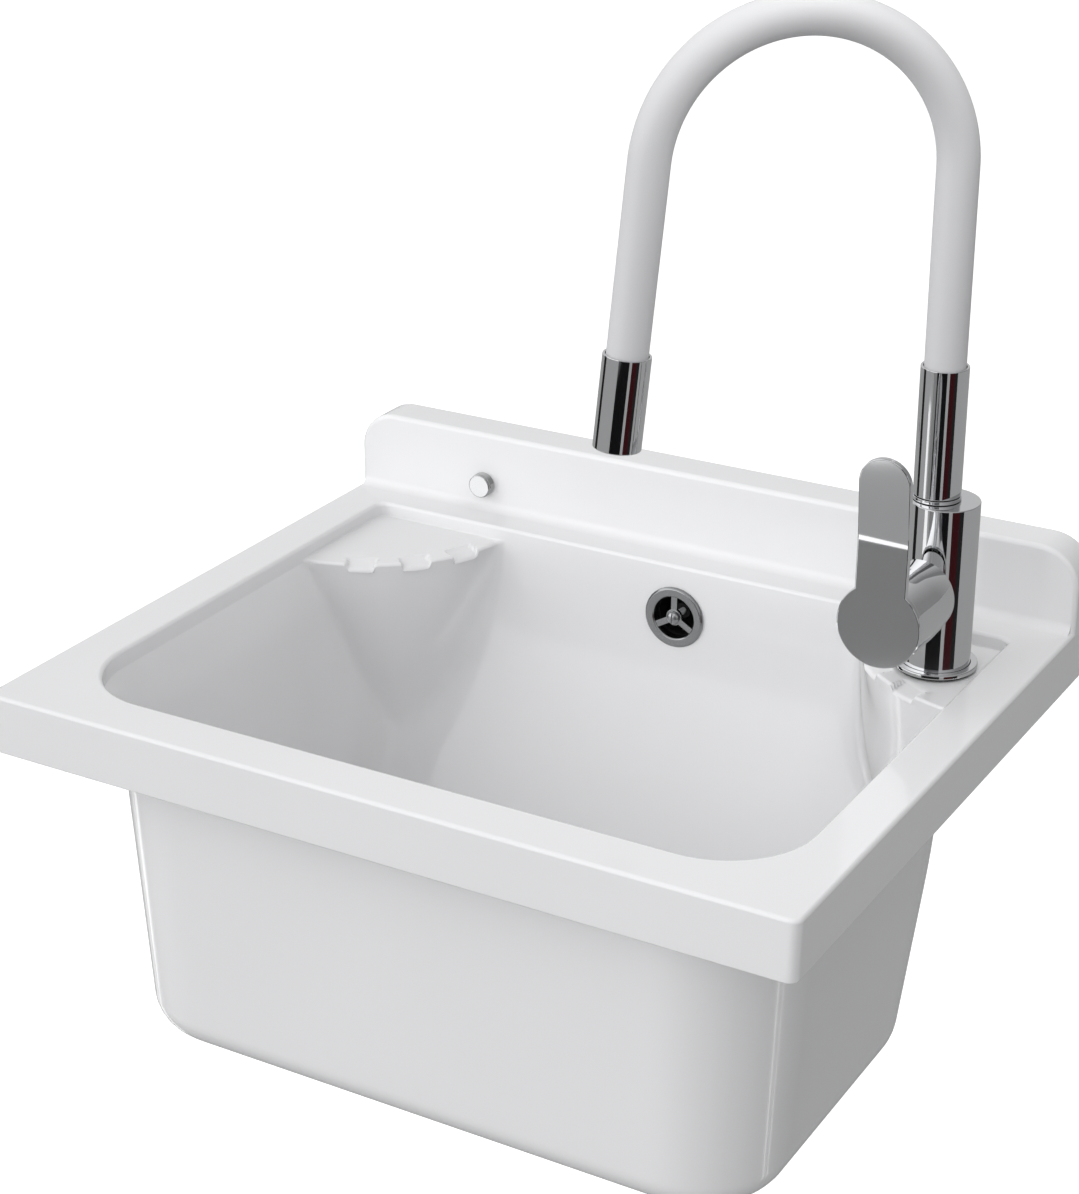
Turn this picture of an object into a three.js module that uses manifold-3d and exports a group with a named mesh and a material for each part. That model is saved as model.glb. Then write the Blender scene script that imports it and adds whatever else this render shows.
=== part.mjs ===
// Wall-hung utility laundry sink with a corner-mounted mixer tap and a flexible gooseneck spout.
// Millimetres, +Z up. The origin is on the wall face, in the middle, level with the rim.
// The wall is the plane Y = 0, the user stands on the -Y side, and +X is to the user's right.

import * as THREE from 'three';
import { mergeVertices } from 'three/addons/utils/BufferGeometryUtils.js';
import Module from 'manifold-3d';

const wasm = await Module();
wasm.setup();

// ---------------------------------------------------------------- driving dimensions

// Basin outline
const sinkWidth = 550;
const sinkDepth = 450;
const apronHeight = 40.5;
const apronDraft = 1.6;
const apronWall = 5;
const rimThickness = 5;
const rimCornerRadius = 6;
const rimEdgeRadius = 2.5;

// The moulding is one piece on the real sink. Here it is three closed bodies, the bowl, the rim
// and the splashback, which meet at hairline seams, so that each keeps its hollows open.
const seamGap = 0.3;
const splashSeamHeight = 3;

// Bowl, measured on its inner face
const rimSideWidth = 39.3;
const rimFrontWidth = 41.3;
const bowlHalfWidthTop = sinkWidth / 2 - rimSideWidth;
const bowlSideTaper = 15.7;
const bowlHalfWidthFloor = bowlHalfWidthTop - bowlSideTaper;
const bowlFrontTop = rimFrontWidth - sinkDepth;
const bowlFrontTaper = 12.5;
const bowlFrontFloor = bowlFrontTop + bowlFrontTaper;
const bowlBackTop = -57;
const bowlBackTaper = 83;
const bowlBackFloor = bowlBackTop - bowlBackTaper;
const bowlDepth = 248;
const bowlBackKnee = 86;
const bowlKneeRound = 22;
const bowlWall = 6;
const floorThickness = 6;
const floorFillet = 18;
const frontCornerRadiusTop = 67;
const frontCornerRadiusFloor = 52;
const backCornerRadiusTop = 110;
const backCornerRadiusFloor = 52;
const rimLipRadius = 8;
const rimLipShareAtBack = 0.3;
const openingBackCornerRadius = 8;

// Corner decks: soap dish on the left, tap deck on the right. Their points are given from the
// bowl's own back left corner: how far in from its side, and how far forward of its back.
const fromCorner = (inward, forward) => [inward - bowlHalfWidthTop, bowlBackTop - forward];
const deckDrop = 10;
const deckThickness = 7;
const deckMargin = 12;
const deckSideEnd = fromCorner(-2.3, 106);
const deckBulge = fromCorner(83.7, 100);
const deckBackEnd = fromCorner(95.7, -7);
const deckOuterCorner = fromCorner(-14.3, -11);
const columnApex = fromCorner(35.7, 45);
const columnDepth = 155;
const columnTipShare = 0.02;
const deckEdgeSteps = 10;
const columnPocketShare = 0.86;
const pocketOuterCorner = fromCorner(-26.3, -32);
const notchPlaces = [0.24, 0.5, 0.76];
const notchWidth = 20;
const notchReach = 12;
const notchDrop = 3;

// Splashback
const splashHeight = 57;
const splashThickness = 30;
const splashCornerRadius = 28;
const splashEdgeRadius = 3.5;
const splashWall = 4;
const splashFillet = 6;
const splashEndRibInset = 49;
const splashMiddleRibs = [-113, -56, 0, 56, 113];
const ribThickness = 4;
const centreRibThickness = 10;
const centreRibReach = 18;
const rimRibThickness = 4;
const rimRibHeight = 24;
const frontRibs = [-150, 0, 150];
const sideRibs = [-340, -220];

// Wall screws and their chrome caps
const screwOffset = 170;
const screwHeight = 19;
const screwBossRadius = 10;
const screwRadius = 3.5;
const screwHoleClearance = 0.8;
const screwBehindWall = 45;
const screwPointLength = 8;
const screwHeadRadius = 5.6;
const screwHeadHeight = 4.5;
const screwWasherRadius = 6.6;
const screwWasherThickness = 1.6;
const capRadius = 7.6;
const capHeight = 10;
const capWall = 0.7;
const capEdge = 1;

// Overflow
const overflowHoleRadius = 17.5;
const rosetteRadius = 22.3;
const rosetteOpeningRadius = 15.4;
const rosetteThickness = 2.6;
const rosetteHubRadius = 6;
const rosetteSpokeWidth = 4.6;
const rosetteNeckDepth = 4;
const rosetteNeckGap = 0.5;
const rosetteRimSlope = 1.4;
const overflowScrewRadius = 2.4;
const overflowScrewHeadRadius = 4.6;
const overflowScrewHeadHeight = 2.4;
const overflowScrewHeadSide = 0.8;
const overflowScrewLength = 26;
const overflowSealThickness = 1.6;
const overflowFlangeRadius = 21;
const overflowDrop = deckDrop + deckThickness + overflowFlangeRadius;
const overflowFlangeThickness = 3;
const overflowCupRadius = 18.6;
const overflowCupDepth = 24;
const overflowBossWall = 3;
const overflowBossStart = 4;
const plasticWall = 2.2;

// Overflow pipe
const pipeRadius = 11;
const pipeWall = 1.8;
const pipeBendRadius = 40;
const pipeSides = 12;
const pipeSteps = 10;
const socketLength = 16;
const socketDepth = 12;
const pipeSetback = 33.5;

// Waste fitting
const wasteSetback = 268;
const wasteHoleRadius = 31;
const wasteRecessRadius = 38.5;
const wasteRecessDepth = 2.4;
const strainerRadius = 36;
const strainerCupRadius = 25.6;
const strainerCupDepth = 9;
const strainerSheet = 1.4;
const strainerBend = 2;
const strainerHoleRadius = 2.6;
const strainerHoleRings = [[11, 6], [18.5, 12]];
const wasteScrewRadius = 3;
const wasteScrewHeadRadius = 5.5;
const wasteScrewHeadHeight = 2.4;
const wasteSealThickness = 2.4;
const wasteFlangeRadius = 40;
const wasteFlangeThickness = 4;
const wasteBodyRadius = 29;
const wasteBodyHeight = 44;
const wasteOutletRadius = 20;
const wasteOutletLength = 24;
const wastePortDrop = 27;
const wasteWebThickness = 4;
const wasteWebDrop = 10;
const wasteHubRadius = 7;
const wasteShoulderSlope = 5;

// Tap
const tapInset = 28.1;
const tapFromBowlBack = 41.7;
const tapX = bowlHalfWidthTop - tapInset;
const tapSetback = tapFromBowlBack - bowlBackTop;
const tapBodyRadius = 22;
const tapBodyTop = 103.9;
const tapEdgeChamfer = 0.7;
const tapFlangeRadius = 26.9;
const tapFlangeHeight = 4.6;
const tapSealThickness = 1.2;
const tapSealInset = 1.6;
const tapHoleRadius = 16;
const tapShankRadius = 14;
const tapShankLength = 38;
const tapSpigotRadius = 11;
const tapSpigotLength = 6;
const tapInletRadius = 4.5;
const tapInletSpacing = 13;
const tapInletDepth = 14;
const tapGasketRadius = 21;
const tapGasketThickness = 3;
const tapPlateThickness = 2;
const tapNutRadius = 20;
const tapNutHeight = 8;

// Mixer branch and cartridge, along the branch axis from the tap's own axis
const branchHeight = 50;
const branchTiltDegrees = 3.5;
const branchRadius = 20;
const pivotDistance = 34;
const branchLength = 46;
const hingeRise = 2;
const cartridgeRadius = 12.5;
const cartridgeStart = 6;
const cartridgeEnd = 30;
const cartridgeRimEnd = 34;
const cartridgeNutBore = 8.8;
const cartridgeNutEnd = 44;
const carrierRadius = 8.4;
const carrierEnd = 45.5;
const carrierSlot = 8.6;
const carrierFloor = 1.2;
const pivotPinRadius = 1.5;
const pinGap = 0.2;
const pinInset = 0.8;
const stemWidth = 8;
const stemEnd = 66;

// Lever
const leverReach = 100.4;
const leverPlateThickness = 4;
const leverEdgeChamfer = 0.7;
const leverDiscRadius = 26.6;
const leverArmHalfWidth = 16.6;
const leverArmTop = 107.5;
const leverPlateLeanDegrees = 2.1;
const leverKinkHeight = 53;
const leverKinkDegrees = 2.7;
const leverBellStart = 36;
const leverBellRadius = 23.6;
const leverBellCavity = 21.8;
const leverBellRoof = 2;
const leverBellBulge = [[12, 1.6], [28, 0.6]];
const leverBossRadius = 8.5;
const leverBossStart = 50;
const grubScrewRadius = 1.9;
const grubScrewLength = 4;
const grubScrewDistance = 58;

// Spout
const spoutOffset = -6;
const spoutAngleDegrees = 218;
const nippleRadius = 11;
const nippleSeatDepth = 22;
const nippleThreadRadius = 9.7;
const nippleThreadTop = 145;
const nippleBarbRadius = 5.5;
const nippleBarbTop = 166;
const nippleBore = 4.5;
const nippleChamfer = 1;
const nippleGrooveRise = 9;
const nippleGrooveWidth = 3;
const nippleGrooveDepth = 2.6;
const swivelSealSection = 1.1;
const swivelRingRadius = 15.6;
const swivelRingThickness = 2.4;
const collarRadius = 15.1;
const collarTop = 190.5;
const collarSeat = 150;
const sleeveChamfer = 0.5;
const hoseRadius = 13;
const hoseBore = 9.2;
const coreBore = 6.9;
const gooseneckStart = 313.4;
const gooseneckRadius = 93;
const gooseneckLeanDegrees = 5.5;
const hoseSteps = 22;
const hoseSides = 12;
const coreSides = 6;
const nozzleRadius = 15.1;
const nozzleTop = 206.4;
const nozzleLength = 59.4;
const nozzleSocket = 24;
const aeratorRadius = 12;
const aeratorHeight = 12;
const aeratorRecess = 1;
const aeratorRim = 2;
const aeratorSlots = 5;
const aeratorSlotShare = 0.56;
const aeratorSealThickness = 1.6;

// Slots of the screws that are driven with a flat blade
const slotWidth = 1.3;

// Clearances
const seatGap = 0.35;
const looseGap = 0.6;

// ---------------------------------------------------------------- shape helpers

const fineSegments = 24;
const roundSegments = 16;
const smallSegments = 8;

function solid(geometry) {
  const plain = geometry.clone();
  plain.deleteAttribute('normal');
  plain.deleteAttribute('uv');
  const merged = mergeVertices(plain, 1e-4);
  return new wasm.Manifold(new wasm.Mesh({
    numProp: 3,
    vertProperties: new Float32Array(merged.attributes.position.array),
    triVerts: new Uint32Array(merged.index.array),
  }));
}

function geometryOf(body) {
  const mesh = body.getMesh();
  const geometry = new THREE.BufferGeometry();
  geometry.setAttribute('position', new THREE.BufferAttribute(mesh.vertProperties, 3));
  geometry.setIndex(new THREE.BufferAttribute(mesh.triVerts, 1));
  geometry.computeVertexNormals();
  return geometry;
}

// A solid of revolution about Z from [radius, height] pairs, given anticlockwise.
function revolve(profile, segments = roundSegments) {
  const points = profile.map(([r, z]) => new THREE.Vector2(r, z));
  if (profile[0][0] > 0) points.push(points[0].clone());
  const geometry = new THREE.LatheGeometry(points, segments);
  geometry.rotateX(Math.PI / 2);
  return solid(geometry);
}

function rod(radius, from, to, segments = roundSegments) {
  return revolve([[0, from], [radius, from], [radius, to], [0, to]], segments);
}

function tube(outer, inner, from, to, segments = roundSegments) {
  return revolve([[inner, from], [outer, from], [outer, to], [inner, to]], segments);
}

function box(x0, x1, y0, y1, z0, z1) {
  const geometry = new THREE.BoxGeometry(x1 - x0, y1 - y0, z1 - z0);
  geometry.translate((x0 + x1) / 2, (y0 + y1) / 2, (z0 + z1) / 2);
  return solid(geometry);
}

// Turns a solid made along Z so that it lies along +Y, then moves it.
function alongY(body, x, y, z) {
  return body.rotate([-90, 0, 0]).translate([x, y, z]);
}

// A closed skin through rings of points that all have the same count.
function loft(rings) {
  const count = rings[0].length;
  const positions = [];
  const triangles = [];
  rings.forEach((ring) => ring.forEach((p) => positions.push(p[0], p[1], p[2])));
  for (let level = 0; level + 1 < rings.length; level++) {
    for (let i = 0; i < count; i++) {
      const a = level * count + i;
      const b = level * count + (i + 1) % count;
      triangles.push(a, b, b + count, a, b + count, a + count);
    }
  }
  [0, rings.length - 1].forEach((level) => {
    const flat = rings[level].map((p) => new THREE.Vector2(p[0], p[1]));
    THREE.ShapeUtils.triangulateShape(flat, []).forEach(([i, j, k]) => {
      const base = level * count;
      if (level === 0) triangles.push(base + i, base + k, base + j);
      else triangles.push(base + i, base + j, base + k);
    });
  });
  const geometry = new THREE.BufferGeometry();
  geometry.setAttribute('position', new THREE.Float32BufferAttribute(positions, 3));
  geometry.setIndex(triangles);
  return solid(geometry);
}

// An anticlockwise rounded rectangle at height z with its own radii at the front and back.
function roundedRing(halfX, front, back, frontRadius, backRadius, z, steps = 6) {
  const corners = [
    [halfX - backRadius, back - backRadius, backRadius],
    [-halfX + backRadius, back - backRadius, backRadius],
    [-halfX + frontRadius, front + frontRadius, frontRadius],
    [halfX - frontRadius, front + frontRadius, frontRadius],
  ];
  const ring = [];
  corners.forEach(([x, y, radius], corner) => {
    for (let i = 0; i <= steps; i++) {
      const angle = Math.PI / 2 * (corner + i / steps);
      ring.push([x + radius * Math.cos(angle), y + radius * Math.sin(angle), z]);
    }
  });
  return ring;
}

const lerp = THREE.MathUtils.lerp;

function mesh(name, body, material) {
  const part = new THREE.Mesh(geometryOf(body), material);
  part.name = name;
  return part;
}

// ---------------------------------------------------------------- materials

function material(color, roughness, metalness = 0) {
  return new THREE.MeshStandardMaterial({ color, roughness, metalness });
}

const glossyWhite = () => material(0xf1f2f4, 0.12);
const chrome = () => material(0xd8dadd, 0.05, 1);
const steel = () => material(0xb5b8bb, 0.3, 1);
const brass = () => material(0xc8a35a, 0.3, 1);
const blackRubber = () => material(0x18181a, 0.7);
const whitePlastic = () => material(0xe6e7e8, 0.4);
const greyPlastic = () => material(0x8b8f94, 0.45);
const whiteSilicone = () => material(0xeeeeef, 0.4);

// ---------------------------------------------------------------- basin

const apronHalf = sinkWidth / 2;
const rimUnderside = -rimThickness;
const deckTop = -deckDrop;
const deckUnderside = deckTop - deckThickness;
const floorTop = -bowlDepth;
const floorUnderside = floorTop - floorThickness;

// The back wall drops straight to a rounded knee, then slopes forward to the floor.
function bowlBackAt(depth) {
  const slope = (bowlBackTop - bowlBackFloor) / (bowlDepth - bowlBackKnee);
  const past = depth - bowlBackKnee;
  if (past <= -bowlKneeRound) return bowlBackTop;
  if (past >= bowlKneeRound) return bowlBackTop - slope * past;
  return bowlBackTop - slope * (past + bowlKneeRound) ** 2 / (4 * bowlKneeRound);
}

function bowlRing(z, grow, inset = 0) {
  const depth = -z;
  const share = depth / bowlDepth;
  const kneeShare = Math.max(0, depth - bowlBackKnee) / (bowlDepth - bowlBackKnee);
  const out = grow - inset;
  return roundedRing(
    lerp(bowlHalfWidthTop, bowlHalfWidthFloor, share) + out,
    lerp(bowlFrontTop, bowlFrontFloor, share) - out,
    bowlBackAt(depth) + out,
    Math.max(4, lerp(frontCornerRadiusTop, frontCornerRadiusFloor, share) + out),
    Math.max(4, lerp(backCornerRadiusTop, backCornerRadiusFloor, kneeShare) + out),
    z,
  );
}

// Rings of the bowl, grown by a wall, from the floor's rounded edge up to the height `top`.
function bowlRings(floor, fillet, grow, top) {
  const rings = [];
  const filletSteps = 3;
  for (let i = 0; i <= filletSteps; i++) {
    const angle = Math.PI / 2 * i / filletSteps;
    rings.push(bowlRing(floor + fillet * (1 - Math.cos(angle)), grow, fillet * (1 - Math.sin(angle))));
  }
  const knee = [1, 0.33, -0.33, -1].map((share) => -(bowlBackKnee + share * bowlKneeRound));
  [lerp(floor + fillet, knee[0], 0.5), ...knee, top].forEach((z) => rings.push(bowlRing(z, grow)));
  return rings;
}

function rimOuterRings() {
  const rings = [];
  const half = (z) => apronHalf + apronDraft * z / apronHeight;
  const front = (z) => -sinkDepth - apronDraft * z / apronHeight;
  const side = (z, inset) => roundedRing(
    half(z) - inset, front(z) + inset, 0, rimCornerRadius - inset * 0.5, 0.5, z, 4,
  );
  rings.push(side(-apronHeight, 0));
  for (let i = 0; i <= 2; i++) {
    const angle = Math.PI / 2 * i / 2;
    rings.push(side(-rimEdgeRadius * (1 - Math.sin(angle)), rimEdgeRadius * (1 - Math.cos(angle))));
  }
  return rings;
}

function skirtHollow() {
  const inner = (z) => roundedRing(
    apronHalf - apronWall + apronDraft * z / apronHeight,
    -sinkDepth + apronWall - apronDraft * z / apronHeight,
    apronWall, rimCornerRadius - 1, 0.5, z, 4,
  );
  return loft([inner(-apronHeight - 2), inner(rimUnderside)]);
}

// The opening in the rim: square at the back, where the two decks fill its corners.
function rimOpening() {
  const share = deckDrop / bowlDepth;
  const halfX = lerp(bowlHalfWidthTop, bowlHalfWidthFloor, share);
  const front = lerp(bowlFrontTop, bowlFrontFloor, share);
  const radius = lerp(frontCornerRadiusTop, frontCornerRadiusFloor, share);
  const ring = (z, lip) => roundedRing(
    halfX + lip, front - lip, bowlBackTop + lip * rimLipShareAtBack,
    radius + lip, openingBackCornerRadius, z,
  );
  const rings = [ring(deckTop, 0)];
  for (let i = 0; i <= 3; i++) {
    const angle = Math.PI / 2 * i / 3;
    const lip = rimLipRadius * (1 - Math.cos(angle));
    rings.push(ring(-rimLipRadius + rimLipRadius * Math.sin(angle), lip));
  }
  rings.push(ring(1, rimLipRadius));
  return loft(rings);
}

// The free edge of a corner deck, as a curve seen from above on the left side.
const deckEdge = new THREE.QuadraticBezierCurve(
  new THREE.Vector2(...deckSideEnd),
  new THREE.Vector2(...deckBulge),
  new THREE.Vector2(...deckBackEnd),
);

function columnRing(z, share, outerCorner, fixedCorner) {
  const apex = new THREE.Vector2(...columnApex);
  const ring = deckEdge.getSpacedPoints(deckEdgeSteps).map((p) => p.sub(apex).multiplyScalar(share).add(apex));
  const corner = new THREE.Vector2(...outerCorner);
  if (!fixedCorner) corner.sub(apex).multiplyScalar(share).add(apex);
  ring.push(corner);
  return ring.map((p) => [p.x, p.y, z]);
}

// The column that carries a deck: it narrows downwards and dies out in the bowl's back corner.
function deckColumn() {
  return loft([
    columnRing(deckTop - columnDepth, columnTipShare, deckOuterCorner, false),
    columnRing(deckUnderside, 1 - columnTipShare, deckOuterCorner, false),
    columnRing(deckTop, 1, deckOuterCorner, false),
  ]);
}

// The dry pocket behind the column, open to the outside of the bowl.
function deckPocket() {
  const wallShare = 1 - columnPocketShare;
  const bottom = deckTop - columnDepth * (1 - wallShare);
  return loft([
    columnRing(bottom, columnTipShare, pocketOuterCorner, true),
    columnRing(deckUnderside, columnPocketShare, pocketOuterCorner, true),
  ]);
}

function drainNotches() {
  return notchPlaces.map((place) => {
    const at = deckEdge.getPointAt(place);
    const along = deckEdge.getTangentAt(place);
    const turn = THREE.MathUtils.radToDeg(Math.atan2(along.y, along.x));
    return box(-notchWidth / 2, notchWidth / 2, -notchReach, notchReach, deckTop - notchDrop, deckTop + 1)
      .rotate([0, 0, turn])
      .translate([at.x, at.y, 0]);
  });
}

function deckSlab() {
  const inner = Math.abs(deckBackEnd[0]) - deckMargin;
  const outer = bowlHalfWidthTop + deckMargin;
  return box(-outer, -inner, deckSideEnd[1] - deckMargin * 2, bowlBackTop + deckMargin,
    deckUnderside + seamGap, rimUnderside + 1);
}

function bothSides(body) {
  return body.add(body.mirror([1, 0, 0]));
}

// The splashback's outline, drawn in X and Z, taken along Y.
function splashProfile(y, inset, bottom) {
  const half = apronHalf - inset;
  const top = splashHeight - inset;
  const radius = splashCornerRadius - inset;
  const ring = [[-half, bottom], [half, bottom]];
  [[half - radius, 0], [-half + radius, 90]].forEach(([x, start]) => {
    for (let i = 0; i <= 6; i++) {
      const angle = THREE.MathUtils.degToRad(start + 90 * i / 6);
      ring.push([x + radius * Math.cos(angle), top - radius + radius * Math.sin(angle)]);
    }
  });
  // A loft stacks upwards, so the profile lies flat here and is stood up afterwards.
  return ring.map(([x, z]) => [x, z, -y]);
}

function standUp(body) {
  return body.rotate([90, 0, 0]);
}

function splashSolid() {
  const rings = [splashProfile(0, 0, rimUnderside)];
  for (let i = 0; i <= 2; i++) {
    const angle = Math.PI / 2 * i / 2;
    const y = -splashThickness + splashEdgeRadius * (1 - Math.sin(angle));
    rings.push(splashProfile(y, splashEdgeRadius * (1 - Math.cos(angle)), rimUnderside));
  }
  return standUp(loft(rings));
}

function splashHollow() {
  const endRib = apronHalf - splashEndRibInset;
  let hollow = standUp(loft([
    splashProfile(1, splashWall, splashSeamHeight),
    splashProfile(-splashThickness + splashWall, splashWall, splashSeamHeight),
  ]));
  [-endRib, ...splashMiddleRibs, endRib].forEach((x) => {
    const half = (x === 0 ? centreRibThickness : ribThickness) / 2;
    hollow = hollow.subtract(box(x - half, x + half, -splashThickness, 2, 0, splashHeight));
  });
  return hollow;
}

function splashRootFillet() {
  const shape = new THREE.Shape();
  shape.moveTo(-splashThickness + 1, -1);
  shape.lineTo(-splashThickness - splashFillet, -1);
  shape.lineTo(-splashThickness - splashFillet, 0);
  shape.absarc(-splashThickness - splashFillet, splashFillet, splashFillet, -Math.PI / 2, 0, false);
  shape.lineTo(-splashThickness + 1, splashFillet);
  const length = sinkWidth - 2 * rimEdgeRadius;
  const geometry = new THREE.ExtrudeGeometry(shape, {
    depth: length, bevelEnabled: false, curveSegments: 4,
  });
  // The shape's x is the part's Y and its y is the part's Z; the extrusion runs along X.
  geometry.applyMatrix4(new THREE.Matrix4().makeBasis(
    new THREE.Vector3(0, 1, 0), new THREE.Vector3(0, 0, 1), new THREE.Vector3(1, 0, 0),
  ));
  geometry.translate(-length / 2, 0, 0);
  return solid(geometry);
}

function underRimRibs() {
  const low = rimUnderside - rimRibHeight;
  const half = rimRibThickness / 2;
  const ribs = frontRibs.map((x) => box(
    x - half, x + half, -sinkDepth + apronWall - 1, bowlFrontTop + 2, low, rimUnderside + 1,
  ));
  sideRibs.forEach((y) => {
    const outside = apronHalf - apronWall + 1;
    const inside = bowlHalfWidthTop - 2;
    ribs.push(box(-outside, -inside, y - half, y + half, low, rimUnderside + 1));
    ribs.push(box(inside, outside, y - half, y + half, low, rimUnderside + 1));
  });
  return ribs;
}

function bowlHollow() {
  return loft(bowlRings(floorTop, floorFillet, 0, deckTop + 1));
}

function splashSlab() {
  return splashSolid().subtract(splashHollow()).add(splashRootFillet());
}

function makeBowl() {
  const outside = loft(bowlRings(floorUnderside, floorFillet + bowlWall, bowlWall, deckUnderside));
  let body = outside.subtract(bowlHollow());
  body = body.add(bothSides(deckColumn()).intersect(outside)).subtract(bothSides(deckPocket()));
  const overflowHole = rod(overflowHoleRadius, -2 * bowlWall, 2 * bowlWall);
  body = body.subtract(alongY(overflowHole, 0, bowlBackTop, -overflowDrop));
  const wasteHole = rod(wasteHoleRadius, -2 * floorThickness, floorThickness);
  const recess = rod(wasteRecessRadius, -wasteRecessDepth, floorThickness);
  return body.subtract(wasteHole.add(recess).translate([0, -wasteSetback, floorTop]));
}

// The rim with its apron, its two decks and the foot of the splashback.
function makeRim() {
  let body = loft(rimOuterRings()).subtract(skirtHollow());
  const shoulder = loft([
    bowlRing(deckUnderside + seamGap, bowlWall),
    bowlRing(rimUnderside + 1, bowlWall + rimLipRadius * 0.8),
  ]);
  const bowlRoom = loft(bowlRings(
    floorUnderside, floorFillet + bowlWall, bowlWall + seamGap, deckUnderside + seamGap,
  ));
  body = body.add(shoulder).add(bothSides(deckSlab()));
  underRimRibs().forEach((rib) => { body = body.add(rib.subtract(bowlRoom)); });
  body = body.subtract(bowlHollow()).subtract(rimOpening());
  body = body.add(bothSides(deckColumn()).intersect(shoulder));
  drainNotches().forEach((notch) => { body = body.subtract(bothSides(notch)); });
  body = body.add(splashSlab().trimByPlane([0, 0, -1], -splashSeamHeight));
  body = body.add(box(
    -centreRibThickness / 2, centreRibThickness / 2, -centreRibReach, 0, -apronHeight, rimUnderside + 1,
  ));
  return body.subtract(rod(tapHoleRadius, -2 * deckThickness, 1).translate([tapX, -tapSetback, deckTop]));
}

function makeSplashback() {
  let body = splashSlab().trimByPlane([0, 0, 1], splashSeamHeight + seamGap);
  [-screwOffset, screwOffset].forEach((x) => {
    const boss = rod(screwBossRadius, 0, splashThickness - 1);
    const hole = rod(screwRadius + screwHoleClearance, -2, splashThickness + 2, smallSegments);
    body = body.add(alongY(boss, x, -splashThickness + 1, screwHeight));
    body = body.subtract(alongY(hole, x, -splashThickness, screwHeight));
  });
  return body;
}

// ---------------------------------------------------------------- wall screws and caps

function makeWallScrew() {
  const headBack = splashThickness + seatGap + screwWasherThickness + seatGap;
  const headFront = headBack + screwHeadHeight;
  return revolve([
    [0, -screwBehindWall], [screwRadius, screwPointLength - screwBehindWall], [screwRadius, headBack],
    [screwHeadRadius, headBack], [screwHeadRadius, headFront], [0, headFront],
  ], smallSegments);
}

function makeScrewWasher() {
  const back = splashThickness + seatGap;
  return tube(screwWasherRadius, screwRadius + seatGap, back, back + screwWasherThickness);
}

function makeScrewCap() {
  const back = splashThickness + seatGap;
  const front = back + capHeight;
  const inner = capRadius - capWall;
  return revolve([
    [inner, back], [capRadius, back], [capRadius, front - capEdge], [capRadius - capEdge, front],
    [0, front], [0, front - 2 * capWall], [inner, front - 2 * capWall],
  ]);
}

// ---------------------------------------------------------------- overflow

const backWallOutside = bowlBackTop + bowlWall;

const rosetteShoulder = rosetteNeckDepth + rosetteThickness * 0.6;

function makeRosette() {
  const front = rosetteNeckDepth + rosetteThickness;
  let body = revolve([
    [rosetteOpeningRadius, 0], [overflowHoleRadius - rosetteNeckGap, 0],
    [overflowHoleRadius - rosetteNeckGap, rosetteNeckDepth], [rosetteRadius, rosetteNeckDepth],
    [rosetteRadius, rosetteShoulder], [rosetteRadius - rosetteRimSlope, front],
    [rosetteOpeningRadius + rosetteRimSlope / 2, front], [rosetteOpeningRadius, rosetteShoulder],
  ], fineSegments);
  const low = rosetteNeckDepth - 1;
  const high = rosetteShoulder;
  for (let i = 0; i < 3; i++) {
    const half = rosetteSpokeWidth / 2;
    const spoke = box(-half, half, 0, rosetteOpeningRadius + 1, low, high);
    body = body.add(spoke.rotate([0, 0, 120 * i]));
  }
  body = body.add(rod(rosetteHubRadius, low, high));
  return body.subtract(rod(overflowScrewRadius + seatGap, low - 1, high + 1, smallSegments));
}

function makeOverflowScrew() {
  const seat = rosetteShoulder + seatGap;
  const domeFoot = seat + overflowScrewHeadSide;
  const crown = domeFoot + overflowScrewHeadHeight;
  const dome = [0, 30, 60].map((degrees) => {
    const angle = THREE.MathUtils.degToRad(degrees);
    return [
      overflowScrewHeadRadius * Math.cos(angle), domeFoot + overflowScrewHeadHeight * Math.sin(angle),
    ];
  });
  const screw = revolve([
    [0, seat - overflowScrewLength], [overflowScrewRadius, seat - overflowScrewLength],
    [overflowScrewRadius, seat], [overflowScrewHeadRadius, seat], ...dome, [0, crown],
  ], smallSegments + 4);
  return screw.subtract(slotCut(overflowScrewHeadRadius, crown));
}

// The cut for a straight slot across a screw's head whose top is at height z.
function slotCut(headRadius, z) {
  return box(-slotWidth / 2, slotWidth / 2, -headRadius - 1, headRadius + 1, z - slotWidth, z + 1);
}

function makeOverflowSeal() {
  const from = seatGap;
  return tube(overflowFlangeRadius, overflowHoleRadius, from, from + overflowSealThickness);
}

// Made along +Z as the direction away from the bowl, and turned with its group to lie along +Y.
function makeOverflowBody() {
  const face = seatGap * 2 + overflowSealThickness;
  const inside = overflowCupRadius - plasticWall;
  const end = face + overflowCupDepth;
  const centre = pipeCentreBehindWall();
  const reach = overflowCupRadius + socketLength;
  const downwards = (radius, to, segments) => rod(radius, 0, to, segments)
    .rotate([-90, 0, 0])
    .translate([0, 0, centre]);
  const flange = tube(overflowFlangeRadius, inside, face, face + overflowFlangeThickness);
  let body = rod(overflowCupRadius, face, end).add(flange);
  body = body.add(downwards(pipeRadius + seatGap + plasticWall, reach));
  body = body.subtract(rod(inside, face - 1, end - plasticWall));
  body = body.subtract(downwards(pipeRadius - pipeWall, reach));
  const socket = downwards(pipeRadius + seatGap, reach + 1)
    .subtract(downwards(pipeRadius + seatGap + 1, reach - socketDepth - seatGap));
  body = body.subtract(socket);
  const boss = rod(overflowScrewRadius + overflowBossWall, face + overflowBossStart, end - 1, smallSegments);
  const hole = rod(overflowScrewRadius + seatGap, face, end - plasticWall, smallSegments);
  return body.add(boss).subtract(hole);
}

// How far the pipe's centre lies behind the outside of the bowl's back wall.
function pipeCentreBehindWall() {
  return -pipeSetback - backWallOutside;
}

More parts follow.
